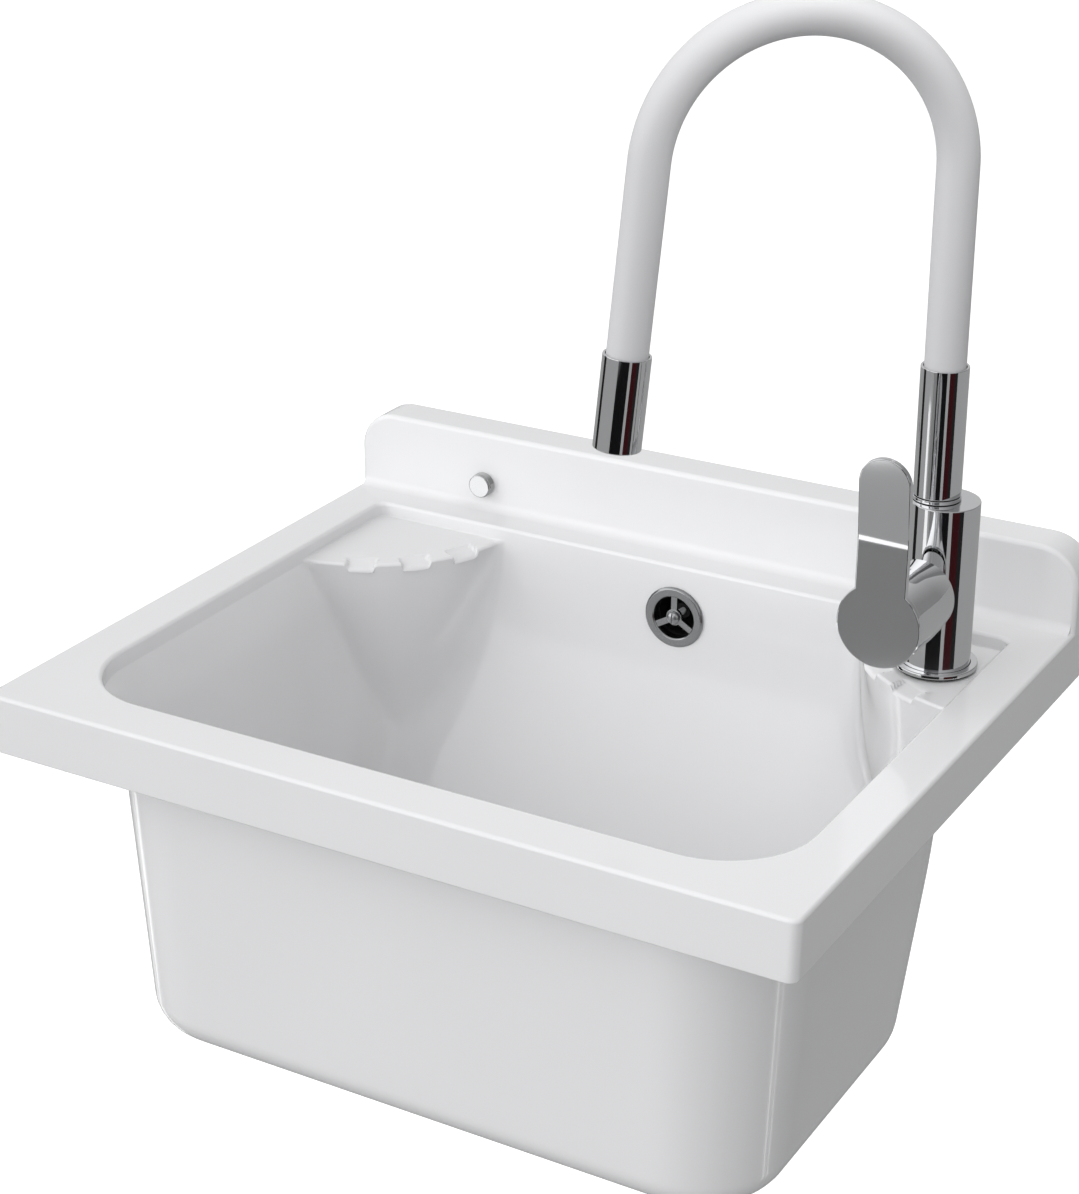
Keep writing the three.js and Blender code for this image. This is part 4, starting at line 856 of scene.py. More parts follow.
class SINK_OT_basin(bpy.types.Operator):
    """Builds the moulded basin with its bowl, decks, apron and splashback"""

    bl_idname = "sink.basin"
    bl_label = "Basin"

    def execute(self, context):
        sections = inner_sections() + deck_sections() + rim_sections() + outer_sections()
        splash = bare_object("splash", splash_shape())
        for pocket in splash_hollow_shapes():
            combine(splash, pocket, CUT)
        splash_made = [v.co / MM for v in splash.data.vertices], [list(p.vertices) for p in splash.data.polygons]
        bpy.data.objects.remove(splash, do_unlink=True)
        steps = [(CUT, solid_box((-RIM_HALF + 4.5, -APRON_WALL - 1, -APRON_HEIGHT - 3),
                                 (RIM_HALF - 4.5, 3, -RIM_THICKNESS))),
                 (ADD, splash_made), (ADD, splash_root_shape())]
        for x in (-SCREW_X, SCREW_X):
            spot = place(x, 0, SCREW_Z, 90)
            steps += [(ADD, rod(SCREW_BOSS, 0.02, 28, 48), spot), (CUT, rod(SCREW_HOLE, -3, 33, 32), spot)]
        ribs = [((x - half, -17.5, -APRON_HEIGHT), (x + half, -0.02, -2.5)) for x, half in SPLASH_RIBS.items()]
        ribs += [((x - 2, -SINK_DEPTH + 3, -29), (x + 2, OPENING_FRONT - 2, -3)) for x in (-150, 0, 150)]
        ribs += [((low, y - 2, -29), (high, y + 2, -3)) for y in (-340, -220)
                 for low, high in ((-RIM_HALF + 3, -OPENING_HALF - 2), (OPENING_HALF + 2, RIM_HALF - 3))]
        steps += [(ADD, solid_box(low, high, 0.5)) for low, high in ribs]
        recess = spun([(38.5, -2.4, 0.8), (39.0, 9, 0)], 96, 5)
        waste = place(0, WASTE_Y, -BOWL_DEPTH)
        steps += [(CUT, rod(OVERFLOW_HOLE, -14, 14, 64), place(0, BOWL_BACK_TOP, -OVERFLOW_DROP, 90)),
                  (CUT, recess, waste), (CUT, rod(WASTE_HOLE, -20, 9, 96), waste),
                  (CUT, rod(TAP_HOLE, -30, 9, 64), place(TAP_X, TAP_Y, -10))]
        basin = make(BASIN_NODES, skin(sections[::-1]), "basin_white", steps=steps, angle=38)
        basin.visible_glossy = False
        return {"FINISHED"}


# ---------------------------------------------------------------- wall fixings

SEAT = 0.35
CAP_HEIGHT = 7.4
CAP_RADIUS = 8.7


class SINK_OT_wall_fixings(bpy.types.Operator):
    """Builds the two wall screws with their washers and chrome caps"""

    bl_idname = "sink.wall_fixings"
    bl_label = "Wall Fixings"

    def execute(self, context):
        back = SPLASH_THICKNESS + SEAT
        head = back + SEAT + 1.6
        top = back + CAP_HEIGHT
        screw = threaded_rod(3.5, 2.2, 0.75, -44.6, 8, [
            (3.5, 8.4), (3.5, head), (5.2, head), (5.6, head + 0.4), (5.6, head + 2.6), (4.4, head + 4.1),
            (2.0, head + 4.5)])
        washer = pipe_piece(6.5, 3.9, back, back + 1.6, 0.3, 48)
        cap = rounded_lathe([
            (CAP_RADIUS - 0.8, back, 0.1), (CAP_RADIUS, back, 0.3), (CAP_RADIUS, top - 2.0, 0.2),
            (CAP_RADIUS - 0.3, top - 1.7, 0.2), (CAP_RADIUS - 0.3, top, 0.7), (0, top, 0), (0, top - 1.2, 0),
            (CAP_RADIUS - 0.8, top - 1.2, 0.3)], 96, 5)
        for side, x in (("left", -SCREW_X), ("right", SCREW_X)):
            for name, shape, slot in (("wall_screw", screw, "steel"), ("screw_washer", washer, "white_plastic"),
                                      ("screw_cap", cap, "chrome")):
                make(f"{name}_{side}", shape, slot, place(x, 0, SCREW_Z, 90))
        return {"FINISHED"}


# ---------------------------------------------------------------- overflow

PIPE_Y = -33.5
PIPE_TOP = -60.6
PIPE_OUTER = 10.95
PIPE_BORE = 9.2
PIPE_SOCKET = 11.35
PIPE_BEND = 40
PORT_HEIGHT = -281.0
PORT_END = -223.0
SCREW_BORE = 2.75


class SINK_OT_overflow(bpy.types.Operator):
    """Builds the overflow: rosette, slotted screw, seal, body behind the bowl and pipe to the waste"""

    bl_idname = "sink.overflow"
    bl_label = "Overflow"

    def execute(self, context):
        front = place(0, BOWL_BACK_TOP - SEAT + 4.0, -OVERFLOW_DROP, 90)
        back = place(0, BOWL_BACK_TOP + context.scene.sink_basin.wall, -OVERFLOW_DROP, -90)
        self.rosette(front)
        self.screw(front)
        make("overflow_seal", pipe_piece(20.7, 17.6, SEAT, SEAT + 1.6, 0.4, 72), "black_rubber", back)
        self.body(back)
        self.pipe()
        return {"FINISHED"}

    def rosette(self, matrix):
        ring = rounded_lathe([(15.4, 0.05, 0.2), (16.9, 0.05, 0.2), (16.9, 4.0, 0), (22.2, 4.0, 0.2),
                              (22.2, 5.5, 0.9), (20.9, 6.55, 0.9), (16.2, 6.55, 0.5), (15.4, 5.8, 0.5)], 128)
        spoke = solid_box((-2.3, 3.0, 3.0), (2.3, 15.9, 5.5), 0.5)
        hub = spun([(6.0, 3.0, 0.3), (6.0, 5.55, 0.5)], 64)
        steps = [(ADD, spoke, place(turn_z=turn)) for turn in (0, 120, 240)]
        steps += [(ADD, hub), (CUT, rod(SCREW_BORE, 2, 7, 40))]
        make("overflow_rosette", ring, "chrome", matrix, steps, finish="satin_chrome")

    def screw(self, matrix):
        seat, head = 5.91, 4.6
        dome = [(head * math.cos(a), seat + 0.8 + 2.35 * math.sin(a)) for a in np.linspace(0.15, 1.45, 9)]
        screw = threaded_rod(2.4, 0.9, 0.45, seat - 25.9, seat - 4, [
            (2.4, seat - 3.5), (2.4, seat), (4.4, seat), (head, seat + 0.3), (head, seat + 0.8), *dome], 48)
        make("overflow_screw", screw, "steel", matrix, [driver_slot(head, seat + 3.15, 1.2, 1.4)])

    def body(self, matrix):
        cup = spun([(18.6, 3.0, 0), (18.6, 26.2, 1.6)])
        flange = spun([(20.9, 2.35, 0.3), (20.9, 5.2, 0.5)])
        spigot = spun([(13.5, 0, 0), (13.5, 31.6, 0.4), (13.5, 34.5, 0.6)], 72)
        hollow = spun([(16.4, 1, 0), (16.4, 24.1, 1.2)])
        rib = solid_box((-0.8, 17.9, 5.0), (0.8, 20.4, 16.0), 0.2)
        down = place(0, 0, 17.5, -90)
        steps = [(ADD, flange), (ADD, spigot, down), (CUT, hollow), (CUT, rod(PIPE_BORE, 1, 36, 64), down),
                 (CUT, rod(PIPE_SOCKET, 22.3, 36, 64), down), (ADD, rod(5.4, 6.5, 25, 48)),
                 (CUT, rod(SCREW_BORE, 2, 24.1, 40))]
        steps += [(ADD, rib, place(turn_z=turn)) for turn in (-55, 55, 125, 235)]
        # near-black plastic here is painted shade for the hollow behind the rosette; the slot itself is grey plastic
        make("overflow_body", cup, "grey_plastic", matrix, steps, finish="painted_shade_plastic")

    def pipe(self):
        corner = Vector((0, PIPE_Y, PORT_HEIGHT))
        bend = corner + Vector((0, 0, PIPE_BEND)), corner, corner - Vector((0, PIPE_BEND, 0))
        start, end = Vector((0, PIPE_Y, PIPE_TOP - 0.05)), Vector((0, PORT_END - 11.95, PORT_HEIGHT))
        path = [start.lerp(bend[0], t) for t in np.linspace(0, 1, 24)[:-1]]
        path += [bezier(bend, t) for t in np.linspace(0, 1, 24)]
        path += [bend[2].lerp(end, t) for t in np.linspace(0, 1, 20)[1:]]
        make("overflow_pipe", sweep(path, (1, 0, 0), PIPE_OUTER, PIPE_BORE), "white_plastic")


# ---------------------------------------------------------------- waste

RECESS_FLOOR = -BOWL_DEPTH - 2.4
FLANGE_TOP = -257.1
DISH_DEPTH = 9.0


class SINK_OT_waste(bpy.types.Operator):
    """Builds the waste fitting: strainer, screw, seal and body"""

    bl_idname = "sink.waste"
    bl_label = "Waste Fitting"

    def execute(self, context):
        matrix = place(0, WASTE_Y, 0)
        self.strainer(matrix)
        self.screw(matrix)
        make("waste_seal", pipe_piece(38.3, 31.2, -256.75, -254.36, 0.6), "black_rubber", matrix)
        self.body(matrix)
        return {"FINISHED"}

    def strainer(self, matrix):
        seat = RECESS_FLOOR + SEAT
        low = seat - DISH_DEPTH
        dish = spun([
            (24.9, low, 2.6), (24.9, seat, 0.3), (35.4, seat, 0.3), (35.4, seat + 1.35, 0.6),
            (24.6, seat + 1.35, 1.6), (23.5, low + 1.4, 1.8)], 144, 6)
        hole = rod(2.4, low - 1, low + 3, 28)
        holes = [moved(hole, place(radius * math.cos(angle), radius * math.sin(angle)))
                 for radius, count in ((11, 6), (18.5, 12)) for angle in (FULL_TURN * k / count for k in range(count))]
        steps = [(CUT, joined(*holes)), (CUT, rod(3.3, low - 1, low + 3, 32))]
        make("waste_strainer", dish, "steel", matrix, steps)

    def screw(self, matrix):
        seat = RECESS_FLOOR + 2 * SEAT - DISH_DEPTH + 1.4
        screw = threaded_rod(2.95, 1.2, 0.5, -275.0, -262, [
            (2.95, -261.5), (2.95, seat), (5.1, seat), (5.3, seat + 0.3), (5.3, seat + 1.2), (4.7, seat + 2.0),
            (2.8, seat + 2.36)], 48)
        make("waste_screw", screw, "steel", matrix, [driver_slot(5.4, seat + 2.36, 1.3, 1.3)])

    def body(self, matrix):
        top, shoulder, end = FLANGE_TOP, FLANGE_TOP - 44, FLANGE_TOP - 68
        shell = spun([
            (19.7, end, 0.5), (19.7, end + 3, 0.3), (19.2, end + 3.6, 0.3), (19.2, shoulder - 2, 1.5),
            (23.8, shoulder, 1.5), (28.5, shoulder + 5, 2.5), (28.5, top - 4, 1.0), (39.2, top - 4, 0.6),
            (39.2, top, 0.5)], 128)
        port = spun([(13.4, 20, 0), (13.4, 41, 0.4), (13.4, 44.9, 0.6)], 72)
        hollow = spun([
            (17.7, end - 1, 0), (17.7, shoulder, 1.2), (22.7, shoulder + 2.2, 1.5),
            (26.6, shoulder + 6, 2.0), (26.6, top + 1, 0)], 128)
        web_top = top - 10
        web = solid_box((-1.8, 0, web_top - 3.95), (1.8, 27.4, web_top - 0.05), 0.3)
        rib = solid_box((-0.9, 27.9, top - 24), (0.9, 30.4, top - 3.9), 0.2)
        drop = place(0, 0, PORT_HEIGHT, -90)
        steps = [(ADD, port, drop), (CUT, hollow), (CUT, rod(PIPE_BORE, 15, 46, 56), drop),
                 (CUT, rod(PIPE_SOCKET, 32.65, 46, 56), drop)]
        steps += [(ADD, web, place(turn_z=turn)) for turn in (60, 180, 300)]
        steps += [(ADD, disc(6.6, web_top - 4.0, web_top, 0.4, 48)), (CUT, rod(3.3, web_top - 5, web_top + 1, 32))]
        steps += [(ADD, rib, place(turn_z=turn)) for turn in range(30, 360, 30)]
        make("waste_body", shell, "white_plastic", matrix, steps)


# ---------------------------------------------------------------- tap

BODY_RADIUS = 22
BODY_FOOT = -8.1
BODY_TOP = 103.9
BRANCH_HEIGHT = 50.0
BRANCH_TILT = 86.5
BRANCH = place(TAP_X, TAP_Y, BRANCH_HEIGHT, BRANCH_TILT)
TAP = place(TAP_X, TAP_Y, 0)
DECK_UNDER = -17.0
SHANK_BORE = 14.4


class SINK_OT_tap(bpy.types.Operator):
    """Builds the tap's body, foot ring, seals, threaded tail, plate and nut"""

    bl_idname = "sink.tap"
    bl_label = "Tap"

    def execute(self, context):
        self.body()
        flange = rounded_lathe([(22.36, -8.05, 0.2), (26.8, -8.05, 0.5), (26.8, -5.1, 1.1), (22.36, -5.1, 0.3)], 128, 6)
        make("tap_flange", flange, "chrome", TAP)
        make("tap_seal", pipe_piece(25.2, SHANK_BORE, -9.6, -8.5, 0.25), "black_rubber", TAP)
        self.shank()
        under = DECK_UNDER - SEAT
        make("tap_gasket", pipe_piece(20.6, SHANK_BORE, under - 2.95, under, 0.5), "black_rubber", TAP)
        under -= 3.0 + SEAT
        make("tap_backing_plate", pipe_piece(20.6, SHANK_BORE, under - 1.95, under, 0.25), "steel", TAP)
        self.nut(under - 2.0 - SEAT)
        return {"FINISHED"}

    def body(self):
        main = spun([(BODY_RADIUS, BODY_FOOT, 0.3), (BODY_RADIUS, BODY_TOP, 0.7)], 160)
        rounding = [(20 * math.cos(a), 34 + 20 * math.sin(a)) for a in np.linspace(0, math.asin(0.6), 12)]
        branch = lathe([(0, 0), *rounding, (0, 46)], 128)
        tilt = place(turn_x=BRANCH_TILT)
        steps = [(ADD, branch, tilt), (CUT, rod(12.85, 6, 48, 72), tilt), (CUT, rod(11.35, 31.9, 56, 72), place(-6.0)),
                 (CUT, rod(4.5, 1, 33, 32), place(-6.0)), (CUT, rod(11.35, -60, -52.1, 48))]
        make("tap_body", moved(main, place(0, 0, -BRANCH_HEIGHT)), "chrome", place(TAP_X, TAP_Y, BRANCH_HEIGHT),
             steps, angle=40)

    def shank(self):
        shoulder = BODY_FOOT - SEAT
        shank = threaded_rod(13.9, 1.5, 0.8, -48.0, -16, [
            (13.9, -15.5), (13.9, shoulder), (10.9, shoulder), (10.9, shoulder + 5.5), (10.4, shoulder + 5.95)], 72)
        inlet = spun([(4.9, -49, 0), (4.9, -47.4, 0.5), (4.1, -46.6, 0.3), (4.1, -34, 0)], 40)
        make("tap_shank", shank, "brass", TAP, [(CUT, inlet, place(x)) for x in (-6.5, 6.5)])

    def nut(self, top):
        blank = moved(rod(20, top - 8, top, 6), place(turn_z=90))
        ends = spun([(17.6, top - 8, 0), (20.4, top - 6.6, 0.5), (20.4, top - 1.4, 0.5), (17.6, top, 0)])
        bore = spun([(15.3, top - 9, 0), (14.35, top - 7.2, 0), (14.35, top - 0.8, 0), (15.3, top + 1, 0)], 72)
        make("tap_nut", blank, "brass", TAP, [("INTERSECT", ends), (CUT, bore)])


# ---------------------------------------------------------------- lever

LEVER_REACH = 100.4
PLATE_THICKNESS = 4.0
PLATE_LEAN = 2.1
DISC_RADIUS = 27.0
ARM_HALF = 16.5
ARM_TOP = 107.4
KINK_HEIGHT = 53.0
KINK_ANGLE = math.radians(5.5)
KINK_SPREAD = 6.0


class SINK_OT_lever(bpy.types.Operator):
    """Builds the lever, a hollow bell with a bent handle plate, and its grub screw"""

    bl_idname = "sink.lever"
    bl_label = "Lever"

    def execute(self, context):
        back = LEVER_REACH - PLATE_THICKNESS
        bell = spun([
            (8.5, 50, 0.3), (8.5, back - 2, 0.4), (21.8, back - 2, 0.8), (21.8, 36, 0.2), (23.5, 36, 0.5),
            (24.9, 48, 0), (25.9, 64, 0), (26.2, back + 1.3, 0)], 128)
        grub_hole = place(0, 0, 58, 90)
        steps = [(ADD, bell), (CUT, solid_box((-4.35, -4.35, 49), (4.35, 4.35, 66.35))),
                 (CUT, rod(2.25, 0, 28, 36), grub_hole)]
        make("lever", self.plate(), "chrome", BRANCH, steps, "mixer_lever", angle=9)
        make("lever_grub_screw", disc(1.88, 4.4, 8.3, 0.25, 36), "steel", BRANCH @ grub_hole,
             [(CUT, rod(1.0, 6.6, 9, 6))], "mixer_lever")
        return {"FINISHED"}

    def plate(self):
        """The flat plate cut from its outline, its edges eased, bent at the kink and leant forward."""
        join = math.asin(ARM_HALF / DISC_RADIUS)
        start, end = math.pi / 2 + join, math.pi / 2 - join + FULL_TURN
        outline = [(DISC_RADIUS * math.cos(a), DISC_RADIUS * math.sin(a)) for a in np.linspace(start, end, 120)]
        middle = ARM_TOP - ARM_HALF
        outline += [(ARM_HALF * math.cos(a), middle + ARM_HALF * math.sin(a)) for a in np.linspace(0, math.pi, 72)]
        maker = bmesh.new()
        face = maker.faces.new([maker.verts.new((x, y, -PLATE_THICKNESS)) for x, y in outline])
        front = bmesh.ops.extrude_face_region(maker, geom=[face])
        bmesh.ops.translate(maker, verts=[v for v in front["geom"] if isinstance(v, bmesh.types.BMVert)],
                            vec=(0, 0, PLATE_THICKNESS))
        bmesh.ops.recalc_face_normals(maker, faces=maker.faces[:])
        rims = [e for e in maker.edges if abs(e.verts[0].co.z - e.verts[1].co.z) < 1e-6]
        bmesh.ops.bevel(maker, geom=rims, offset=0.8, segments=4, affect="EDGES", profile=0.5)
        for y in np.linspace(KINK_HEIGHT - KINK_SPREAD, KINK_HEIGHT + KINK_SPREAD, 9):
            bmesh.ops.bisect_plane(maker, geom=maker.verts[:] + maker.edges[:] + maker.faces[:],
                                   plane_co=(0, y, 0), plane_no=(0, 1, 0))
        for vertex in maker.verts:
            self.bend(vertex.co)
        bmesh.ops.triangulate(maker, faces=maker.faces[:])
        maker.transform(Matrix.Translation((0, 0, LEVER_REACH)) @ Matrix.Rotation(math.radians(PLATE_LEAN), 4, "X"))
        return shape_of(maker)

    def bend(self, spot):
        """Turns a point of the arm forward, a little at a time across the kink."""
        past = spot.y - KINK_HEIGHT + KINK_SPREAD
        if past <= 0:
            return
        width = 2 * KINK_SPREAD
        angle = KINK_ANGLE * min(past, width) / width
        radius, rest = width / KINK_ANGLE, max(0.0, past - width)
        spot.y, spot.z = (
            KINK_HEIGHT - KINK_SPREAD + (radius - spot.z) * math.sin(angle) + rest * math.cos(angle),
            radius * (1 - math.cos(angle)) + rest * math.sin(angle) + spot.z * math.cos(angle))


# ---------------------------------------------------------------- spout

SPOUT = place(SPOUT_X, SPOUT_Y, 0)
SPOUT_DIRECTION = Vector((math.cos(math.radians(218)), math.sin(math.radians(218)), 0))
SPOUT_LEAN = math.radians(5.5)
BEND_START = 313.4
BEND_RADIUS = 93.0
HOSE_START = 150.35
HOSE_OUTER = 12.95
NOZZLE_TOP = 206.4
NOZZLE_LENGTH = 59.4
AERATOR_PITCH = 3.6


def gooseneck(low, high_end, count):
    """Points of the spout's centre line, up, over the bend and down again."""
    rise = BEND_START - low
    arc = BEND_RADIUS * (math.pi - SPOUT_LEAN)
    arc_end = BEND_START + BEND_RADIUS * math.sin(SPOUT_LEAN)
    fall = (arc_end - high_end) / math.cos(SPOUT_LEAN)
    points = []
    for along in np.linspace(0, 1, count) * (rise + arc + fall):
        if along <= rise:
            reach, height = 0.0, low + along
        elif along <= rise + arc:
            angle = (along - rise) / BEND_RADIUS
            reach, height = BEND_RADIUS * (1 - math.cos(angle)), BEND_START + BEND_RADIUS * math.sin(angle)
        else:
            left = along - rise - arc
            reach = BEND_RADIUS * (1 + math.cos(SPOUT_LEAN)) + left * math.sin(SPOUT_LEAN)
            height = arc_end - left * math.cos(SPOUT_LEAN)
        points.append(SPOUT_DIRECTION * reach + Vector((0, 0, height)))
    return points


class SINK_OT_spout(bpy.types.Operator):
    """Builds the swivel ring, collar, white gooseneck sleeve, nozzle and aerator"""

    bl_idname = "sink.spout"
    bl_label = "Spout"

    def execute(self, context):
        foot = BODY_TOP + SEAT
        make("spout_swivel_ring", pipe_piece(15.5, 11.4, foot + 0.05, foot + 2.35, 0.35), "chrome", SPOUT)
        collar = rounded_lathe([(10.1, 107.05, 0.2), (15.0, 107.05, 0.6), (15.0, 190.4, 0.6), (13.4, 190.4, 0.4),
                                (13.4, 150, 0), (10.1, 150, 0)], 128)
        make("spout_collar", collar, "chrome", SPOUT, body="spout")
        line = gooseneck(HOSE_START, NOZZLE_TOP - (24 - SEAT) * math.cos(SPOUT_LEAN), 150)
        hose = sweep(line, SPOUT_DIRECTION.cross(Vector((0, 0, 1))), HOSE_OUTER, 9.3)
        make("spout_hose", hose, "hose_white", SPOUT, body="spout")
        self.nozzle()
        return {"FINISHED"}

    def nozzle(self):
        mouth = gooseneck(150.0, NOZZLE_TOP - NOZZLE_LENGTH * math.cos(SPOUT_LEAN), 2)[-1]
        up = SPOUT_DIRECTION * -math.sin(SPOUT_LEAN) + Vector((0, 0, math.cos(SPOUT_LEAN)))
        turn = Vector((0, 0, 1)).rotation_difference(up).to_matrix().to_4x4()
        matrix = SPOUT @ Matrix.Translation(mouth) @ turn
        end = NOZZLE_LENGTH - 0.05
        sleeve = rounded_lathe([(12.35, 0.05, 0.3), (15.0, 0.05, 0.7), (15.0, end, 0.6), (13.4, end, 0.4),
                                (13.4, 35.4, 0), (7.0, 35.4, 0), (7.0, 15.7, 0), (12.35, 15.7, 0)], 128)
        make("nozzle_sleeve", sleeve, "chrome", matrix, body="spout")
        core = spun([(9.8, 1.9, 0.3), (10.2, 1.05, 0.3), (11.9, 1.05, 0.5), (11.9, 12.95, 0.4)])
        grid = [i * AERATOR_PITCH for i in range(-2, 3)]
        slots = [solid_box((x - 1.3, y - 1.3, 0), (x + 1.3, y + 1.3, 14)) for x in grid for y in grid
                 if math.hypot(x, y) < 8.4]
        make("aerator", core, "white_plastic", matrix, [(CUT, joined(*slots))], "spout")
        make("aerator_seal", pipe_piece(11.85, 8.0, 13.4, 14.9, 0.4, 72), "black_rubber", matrix, body="spout")


class SINK_OT_inner_pieces(bpy.types.Operator):
    """Gives the pieces that stay inside the mixer and the spout their finishes"""

    bl_idname = "sink.inner_pieces"
    bl_label = "Inner Pieces"

    def execute(self, context):
        inner = {
            "white_plastic": ("cartridge",), "brass": ("cartridge_nut", "lever_stem", "spout_nipple"),
            "grey_plastic": ("cartridge_carrier", "spout_hose_core"), "steel": ("lever_pivot_pin",),
            "black_rubber": ("spout_seal",),
        }
        for slot, nodes in inner.items():
            for node in nodes:
                kept = bpy.data.objects[node].data.materials
                kept.clear()
                kept.append(finish_of(slot))
        return {"FINISHED"}


# ---------------------------------------------------------------- stage

SENSOR = 36
FLOOR_HEIGHT = -900.0
FLOOR_RADII = (50, 1000, 2500, 5000, 14000)
FLOOR_SIDES = 96
FLOOR_BOUNCE = 0.38
FLOOR_SHINE = 0.42
FLOOR_GLOW = 0.4
WORLD_SIDE = ((0.0, 1.26), (0.5, 1.06), (0.7, 0.48), (1.0, 0.4))
WORLD_FRONT = ((0.0, 2.1), (0.35, 1.4), (0.6, 0.95), (1.0, 0.85))
WORLD_OVERHEAD = ((0.0, 0.0), (0.74, 0.0), (0.95, 1.0), (1.0, 1.0))
OVERHEAD_LIGHT = 0.54
WORLD_SHINE = 0.55
BACKDROP = 1.1
WHITE = (1, 1, 1, 1)
SCREEN_STEPS = 16
# name, place, what it points at, size and power
LAMPS = (
    ("key", (-1.5, -1.3, 2.3), (0.0, -0.25, 0.0), 1.5, 5.0),
    ("fill", (0.33, -0.22, 0.75), (-0.22, -0.2, -0.08), 0.35, 1.3),
)
# name, start and end angle about the tap, distance of foot and head, their heights, brightness, glow
SCREENS = (
    ("dark_screen", -104, -56, 1900, 1900, -899, -230, (0.012, 0.012, 0.013), 0),
    ("dim_screen", -104, -56, 1900, 1900, -230, 900, (0.17, 0.17, 0.175), 0),
    ("red_screen", -44, -20, 1900, 1900, -899, 100, (0.05, 0.01, 0.012), 0),
    ("black_screen", -20, -5, 1900, 1900, -899, 100, (0.02, 0.02, 0.021), 0),
    ("grey_screen", -119, -104, 2240, 2240, -899, -420, (0.46, 0.46, 0.46), 0),
    ("white_strip", -119, -104, 2100, 2236, -896, -862, (0.95, 0.95, 0.95), 0.6),
    ("left_strip", -181, -177, 900, 2200, -897, -895, (0.9, 0.9, 0.9), 1.4),
    ("far_strip", -189, -186, 900, 2200, -897, -895, (0.9, 0.9, 0.9), 0.6),
    ("right_strip", 4, 6.5, 500, 1400, -897, -895, (0.9, 0.9, 0.9), 2.5),
    ("thin_strip", 12, 13.5, 500, 1400, -897, -895, (0.9, 0.9, 0.9), 2.5),
    ("left_patch", -137, -126, 2300, 3100, -897, -895, (0.9, 0.9, 0.9), 0.3),
    ("left_screen", -182, -166, 1900, 1900, -899, 600, (0.03, 0.03, 0.03), 0),
)


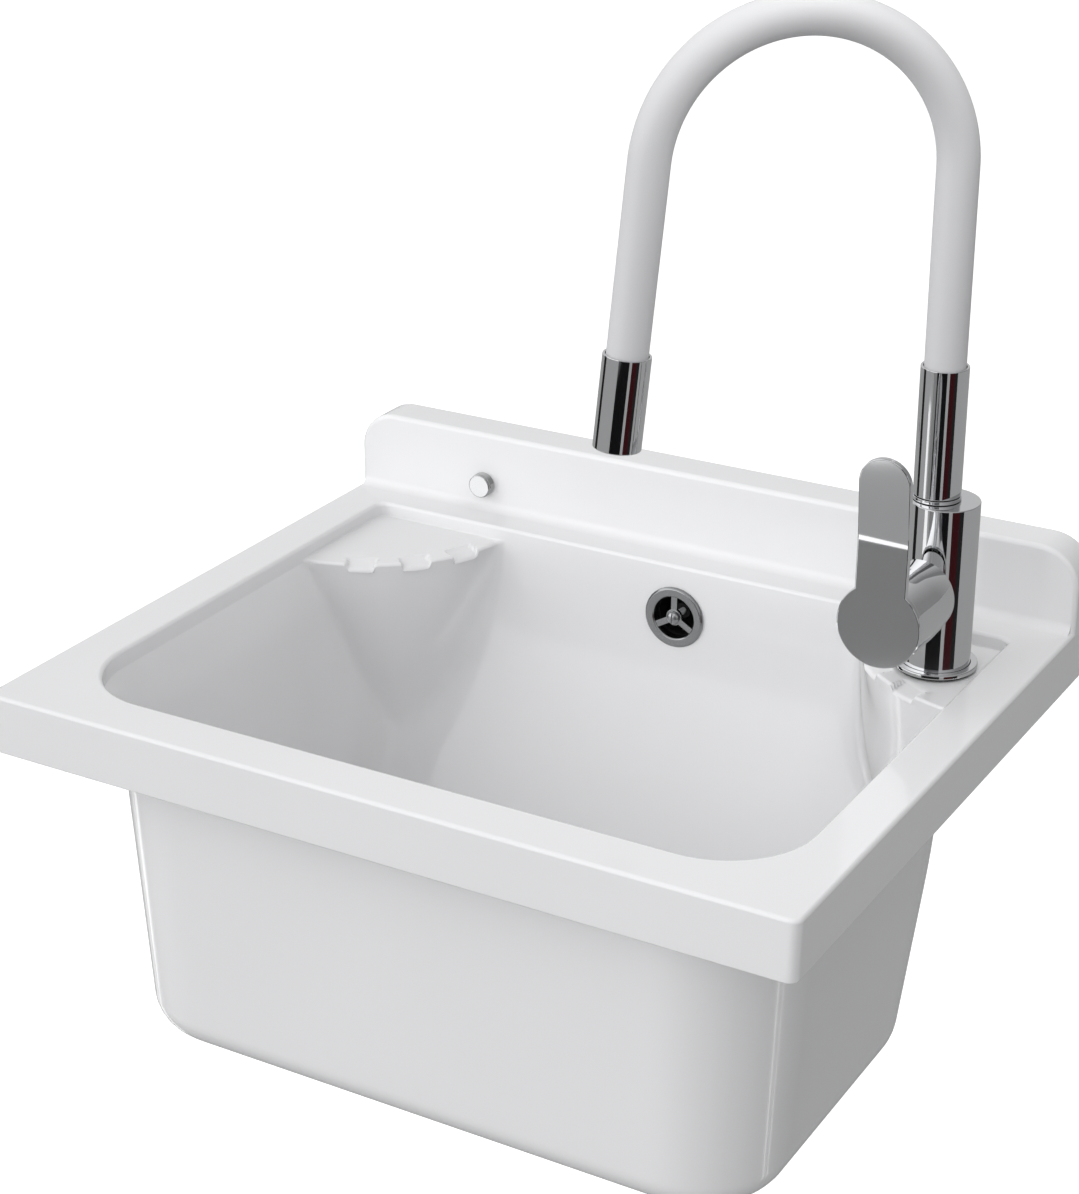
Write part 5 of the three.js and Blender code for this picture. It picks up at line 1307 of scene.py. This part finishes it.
class SINK_OT_stage(bpy.types.Operator):
    """Lays the plain floor, sets the light and places the camera"""

    bl_idname = "sink.stage"
    bl_label = "Stage"

    def execute(self, context):
        scene = context.scene
        view = scene.sink_camera
        camera = bpy.data.objects.new("camera", bpy.data.cameras.new("camera"))
        camera.location = view.place
        camera.rotation_euler = (view.tilt, 0, view.turn)
        camera.data.lens = view.lens
        camera.data.sensor_width = camera.data.sensor_height = SENSOR
        camera.data.sensor_fit = "AUTO"
        camera.data.clip_end = 50
        scene.collection.objects.link(camera)
        scene.camera = camera
        scene.view_settings.view_transform = "Standard"
        self.lay_floor(tuple(scene.sink_finishes.floor))
        self.light_world(scene)
        self.add_lights(scene)
        self.stand_screens()
        return {"FINISHED"}

    def lay_floor(self, colour):
        """A wide pale disc well below the sink, paler to the eye than in the chrome, clear from beneath."""
        vertices = [p for radius in FLOOR_RADII for p in circle(radius, FLOOR_HEIGHT, FLOOR_SIDES)]
        faces = [tuple(range(FLOOR_SIDES))]
        for low in range(0, len(vertices) - FLOOR_SIDES, FLOOR_SIDES):
            for k in range(FLOOR_SIDES):
                n, high = (k + 1) % FLOOR_SIDES, low + FLOOR_SIDES
                faces.append((low + k, high + k, high + n, low + n))
        floor = bare_object("floor", (vertices, faces))
        made, tree, shader = new_material("Plain Floor", Roughness=0.7, Specular_IOR_Level=0.0, Emission_Color=WHITE)
        path = new_node(tree, "LightPath").outputs
        seen = path["Is Camera Ray"]
        shown = two_tones(tree, noise_node(tree, 1.2, 2.0), toned(colour, 0.99), colour)
        duller = blend(tree, path["Is Glossy Ray"], toned(colour, FLOOR_BOUNCE), toned(colour, FLOOR_SHINE))
        beneath = math_node(tree, "MULTIPLY", seen, new_node(tree, "NewGeometry").outputs["Backfacing"])
        fill(tree, shader, Base_Color=blend(tree, seen, duller, shown),
             Alpha=math_node(tree, "SUBTRACT", 1.0, beneath),
             Emission_Strength=math_node(tree, "MULTIPLY", seen, FLOOR_GLOW))
        floor.data.materials.append(made)
        floor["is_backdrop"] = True

    def light_world(self, scene):
        """Soft light from the left and the front, falling away to the right, plain white to the eye."""
        world = bpy.data.worlds.new("Soft Studio")
        world.use_nodes = True
        scene.world = world
        tree = world.node_tree
        tree.nodes.clear()
        parts = new_node(tree, "SeparateXYZ", Vector=new_node(tree, "TexCoord").outputs["Generated"])
        side, front, overhead = (self.ramp(tree, value, stops) for value, stops in zip(
            parts.outputs, (WORLD_SIDE, WORLD_FRONT, WORLD_OVERHEAD)))
        low = math_node(tree, "MULTIPLY", side, front)
        rise = math_node(tree, "MULTIPLY", math_node(tree, "SUBTRACT", OVERHEAD_LIGHT, low), overhead)
        path = new_node(tree, "LightPath").outputs
        duller = math_node(tree, "MULTIPLY", path["Is Glossy Ray"], 1 - WORLD_SHINE)
        kept = math_node(tree, "SUBTRACT", 1.0, duller)
        strength = math_node(tree, "MULTIPLY", math_node(tree, "ADD", low, rise), kept)
        backdrop = math_node(tree, "MULTIPLY", path["Is Camera Ray"], BACKDROP)
        light = new_node(tree, "Background", Color=(0.993, 0.995, 1.0, 1),
                         Strength=math_node(tree, "MAXIMUM", strength, backdrop))
        new_node(tree, "OutputWorld", Surface=light.outputs[0])

    def ramp(self, tree, value, stops):
        """A direction's part, from -1 to 1, turned into a brightness by (position, brightness) stops."""
        remap = new_node(tree, "MapRange", Value=value, From_Min=-1)
        curve = new_node(tree, "FloatCurve", Value=remap.outputs[0])
        points = curve.mapping.curves[0].points
        peak = max(brightness for _, brightness in stops)
        for point, (position, brightness) in zip(points, (stops[0], stops[-1])):
            point.location = (position, brightness / peak)
        for position, brightness in stops[1:-1]:
            points.new(position, brightness / peak)
        for point in points:
            point.handle_type = "VECTOR"
        curve.mapping.update()
        return math_node(tree, "MULTIPLY", curve.outputs[0], peak)

    def add_lights(self, scene):
        for name, spot, target, size, power in LAMPS:
            lamp = bpy.data.lights.new(name, "AREA")
            lamp.size = size
            lamp.energy = power
            made = bpy.data.objects.new(name, lamp)
            made.location = spot
            made.rotation_euler = (Vector(target) - Vector(spot)).to_track_quat("-Z", "Y").to_euler()
            made.visible_glossy = False
            scene.collection.objects.link(made)

    def stand_screens(self):
        """Studio screens and strips round the sink that only polished surfaces pick up."""
        for name, start, end, foot, head, low, high, colour, glow in SCREENS:
            vertices = []
            for k in range(SCREEN_STEPS + 1):
                angle = math.radians(mixed(start, end, k / SCREEN_STEPS))
                for distance, height in ((foot, low), (head, high)):
                    vertices.append((TAP_X + distance * math.cos(angle), TAP_Y + distance * math.sin(angle), height))
            faces = [(2 * k, 2 * k + 2, 2 * k + 3, 2 * k + 1) for k in range(SCREEN_STEPS)]
            screen = bare_object(name, (vertices, faces))
            made, tree, shader = new_material(name, Roughness=0.9, Specular_IOR_Level=0.0, Emission_Color=WHITE,
                                              Emission_Strength=glow)
            fill(tree, shader, Base_Color=two_tones(tree, noise_node(tree, 3.0), toned(colour, 0.9), colour))
            screen.data.materials.append(made)
            screen.visible_camera = screen.visible_diffuse = screen.visible_shadow = False
            screen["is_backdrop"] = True


class SINK_PT_pieces(bpy.types.Panel):
    """Lists the sink's pieces and sizes"""

    bl_idname = "SINK_PT_pieces"
    bl_label = "Laundry Sink"
    bl_space_type = "VIEW_3D"
    bl_region_type = "UI"
    bl_category = "Laundry Sink"

    def draw(self, context):
        for step in STEPS:
            self.layout.operator(step.bl_idname)
        for holder, kind in GROUPS.items():
            column = self.layout.column()
            for name in kind.__annotations__:
                column.prop(getattr(context.scene, holder), name)


STEPS = (SINK_OT_stage, SINK_OT_basin, SINK_OT_wall_fixings, SINK_OT_overflow, SINK_OT_waste, SINK_OT_tap,
         SINK_OT_lever, SINK_OT_spout, SINK_OT_inner_pieces)
GROUPS = {"sink_basin": SinkBasinSizes, "sink_finishes": SinkFinishes, "sink_camera": SinkCamera}
CLASSES = (*GROUPS.values(), *STEPS, SINK_PT_pieces)


def register():
    for made in CLASSES:
        bpy.utils.register_class(made)
    for holder, kind in GROUPS.items():
        setattr(bpy.types.Scene, holder, bpy.props.PointerProperty(type=kind))


def unregister():
    for holder in GROUPS:
        delattr(bpy.types.Scene, holder)
    for made in reversed(CLASSES):
        bpy.utils.unregister_class(made)


def main():
    register()
    for step in STEPS:
        area, name = step.bl_idname.split(".")
        getattr(getattr(bpy.ops, area), name)()
    boxes = {"cad": CAD_BOX, "visual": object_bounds()}
    {name: [list(corner) for corner in box] for name, box in boxes.items()}


if __name__ == "__main__":
    main()
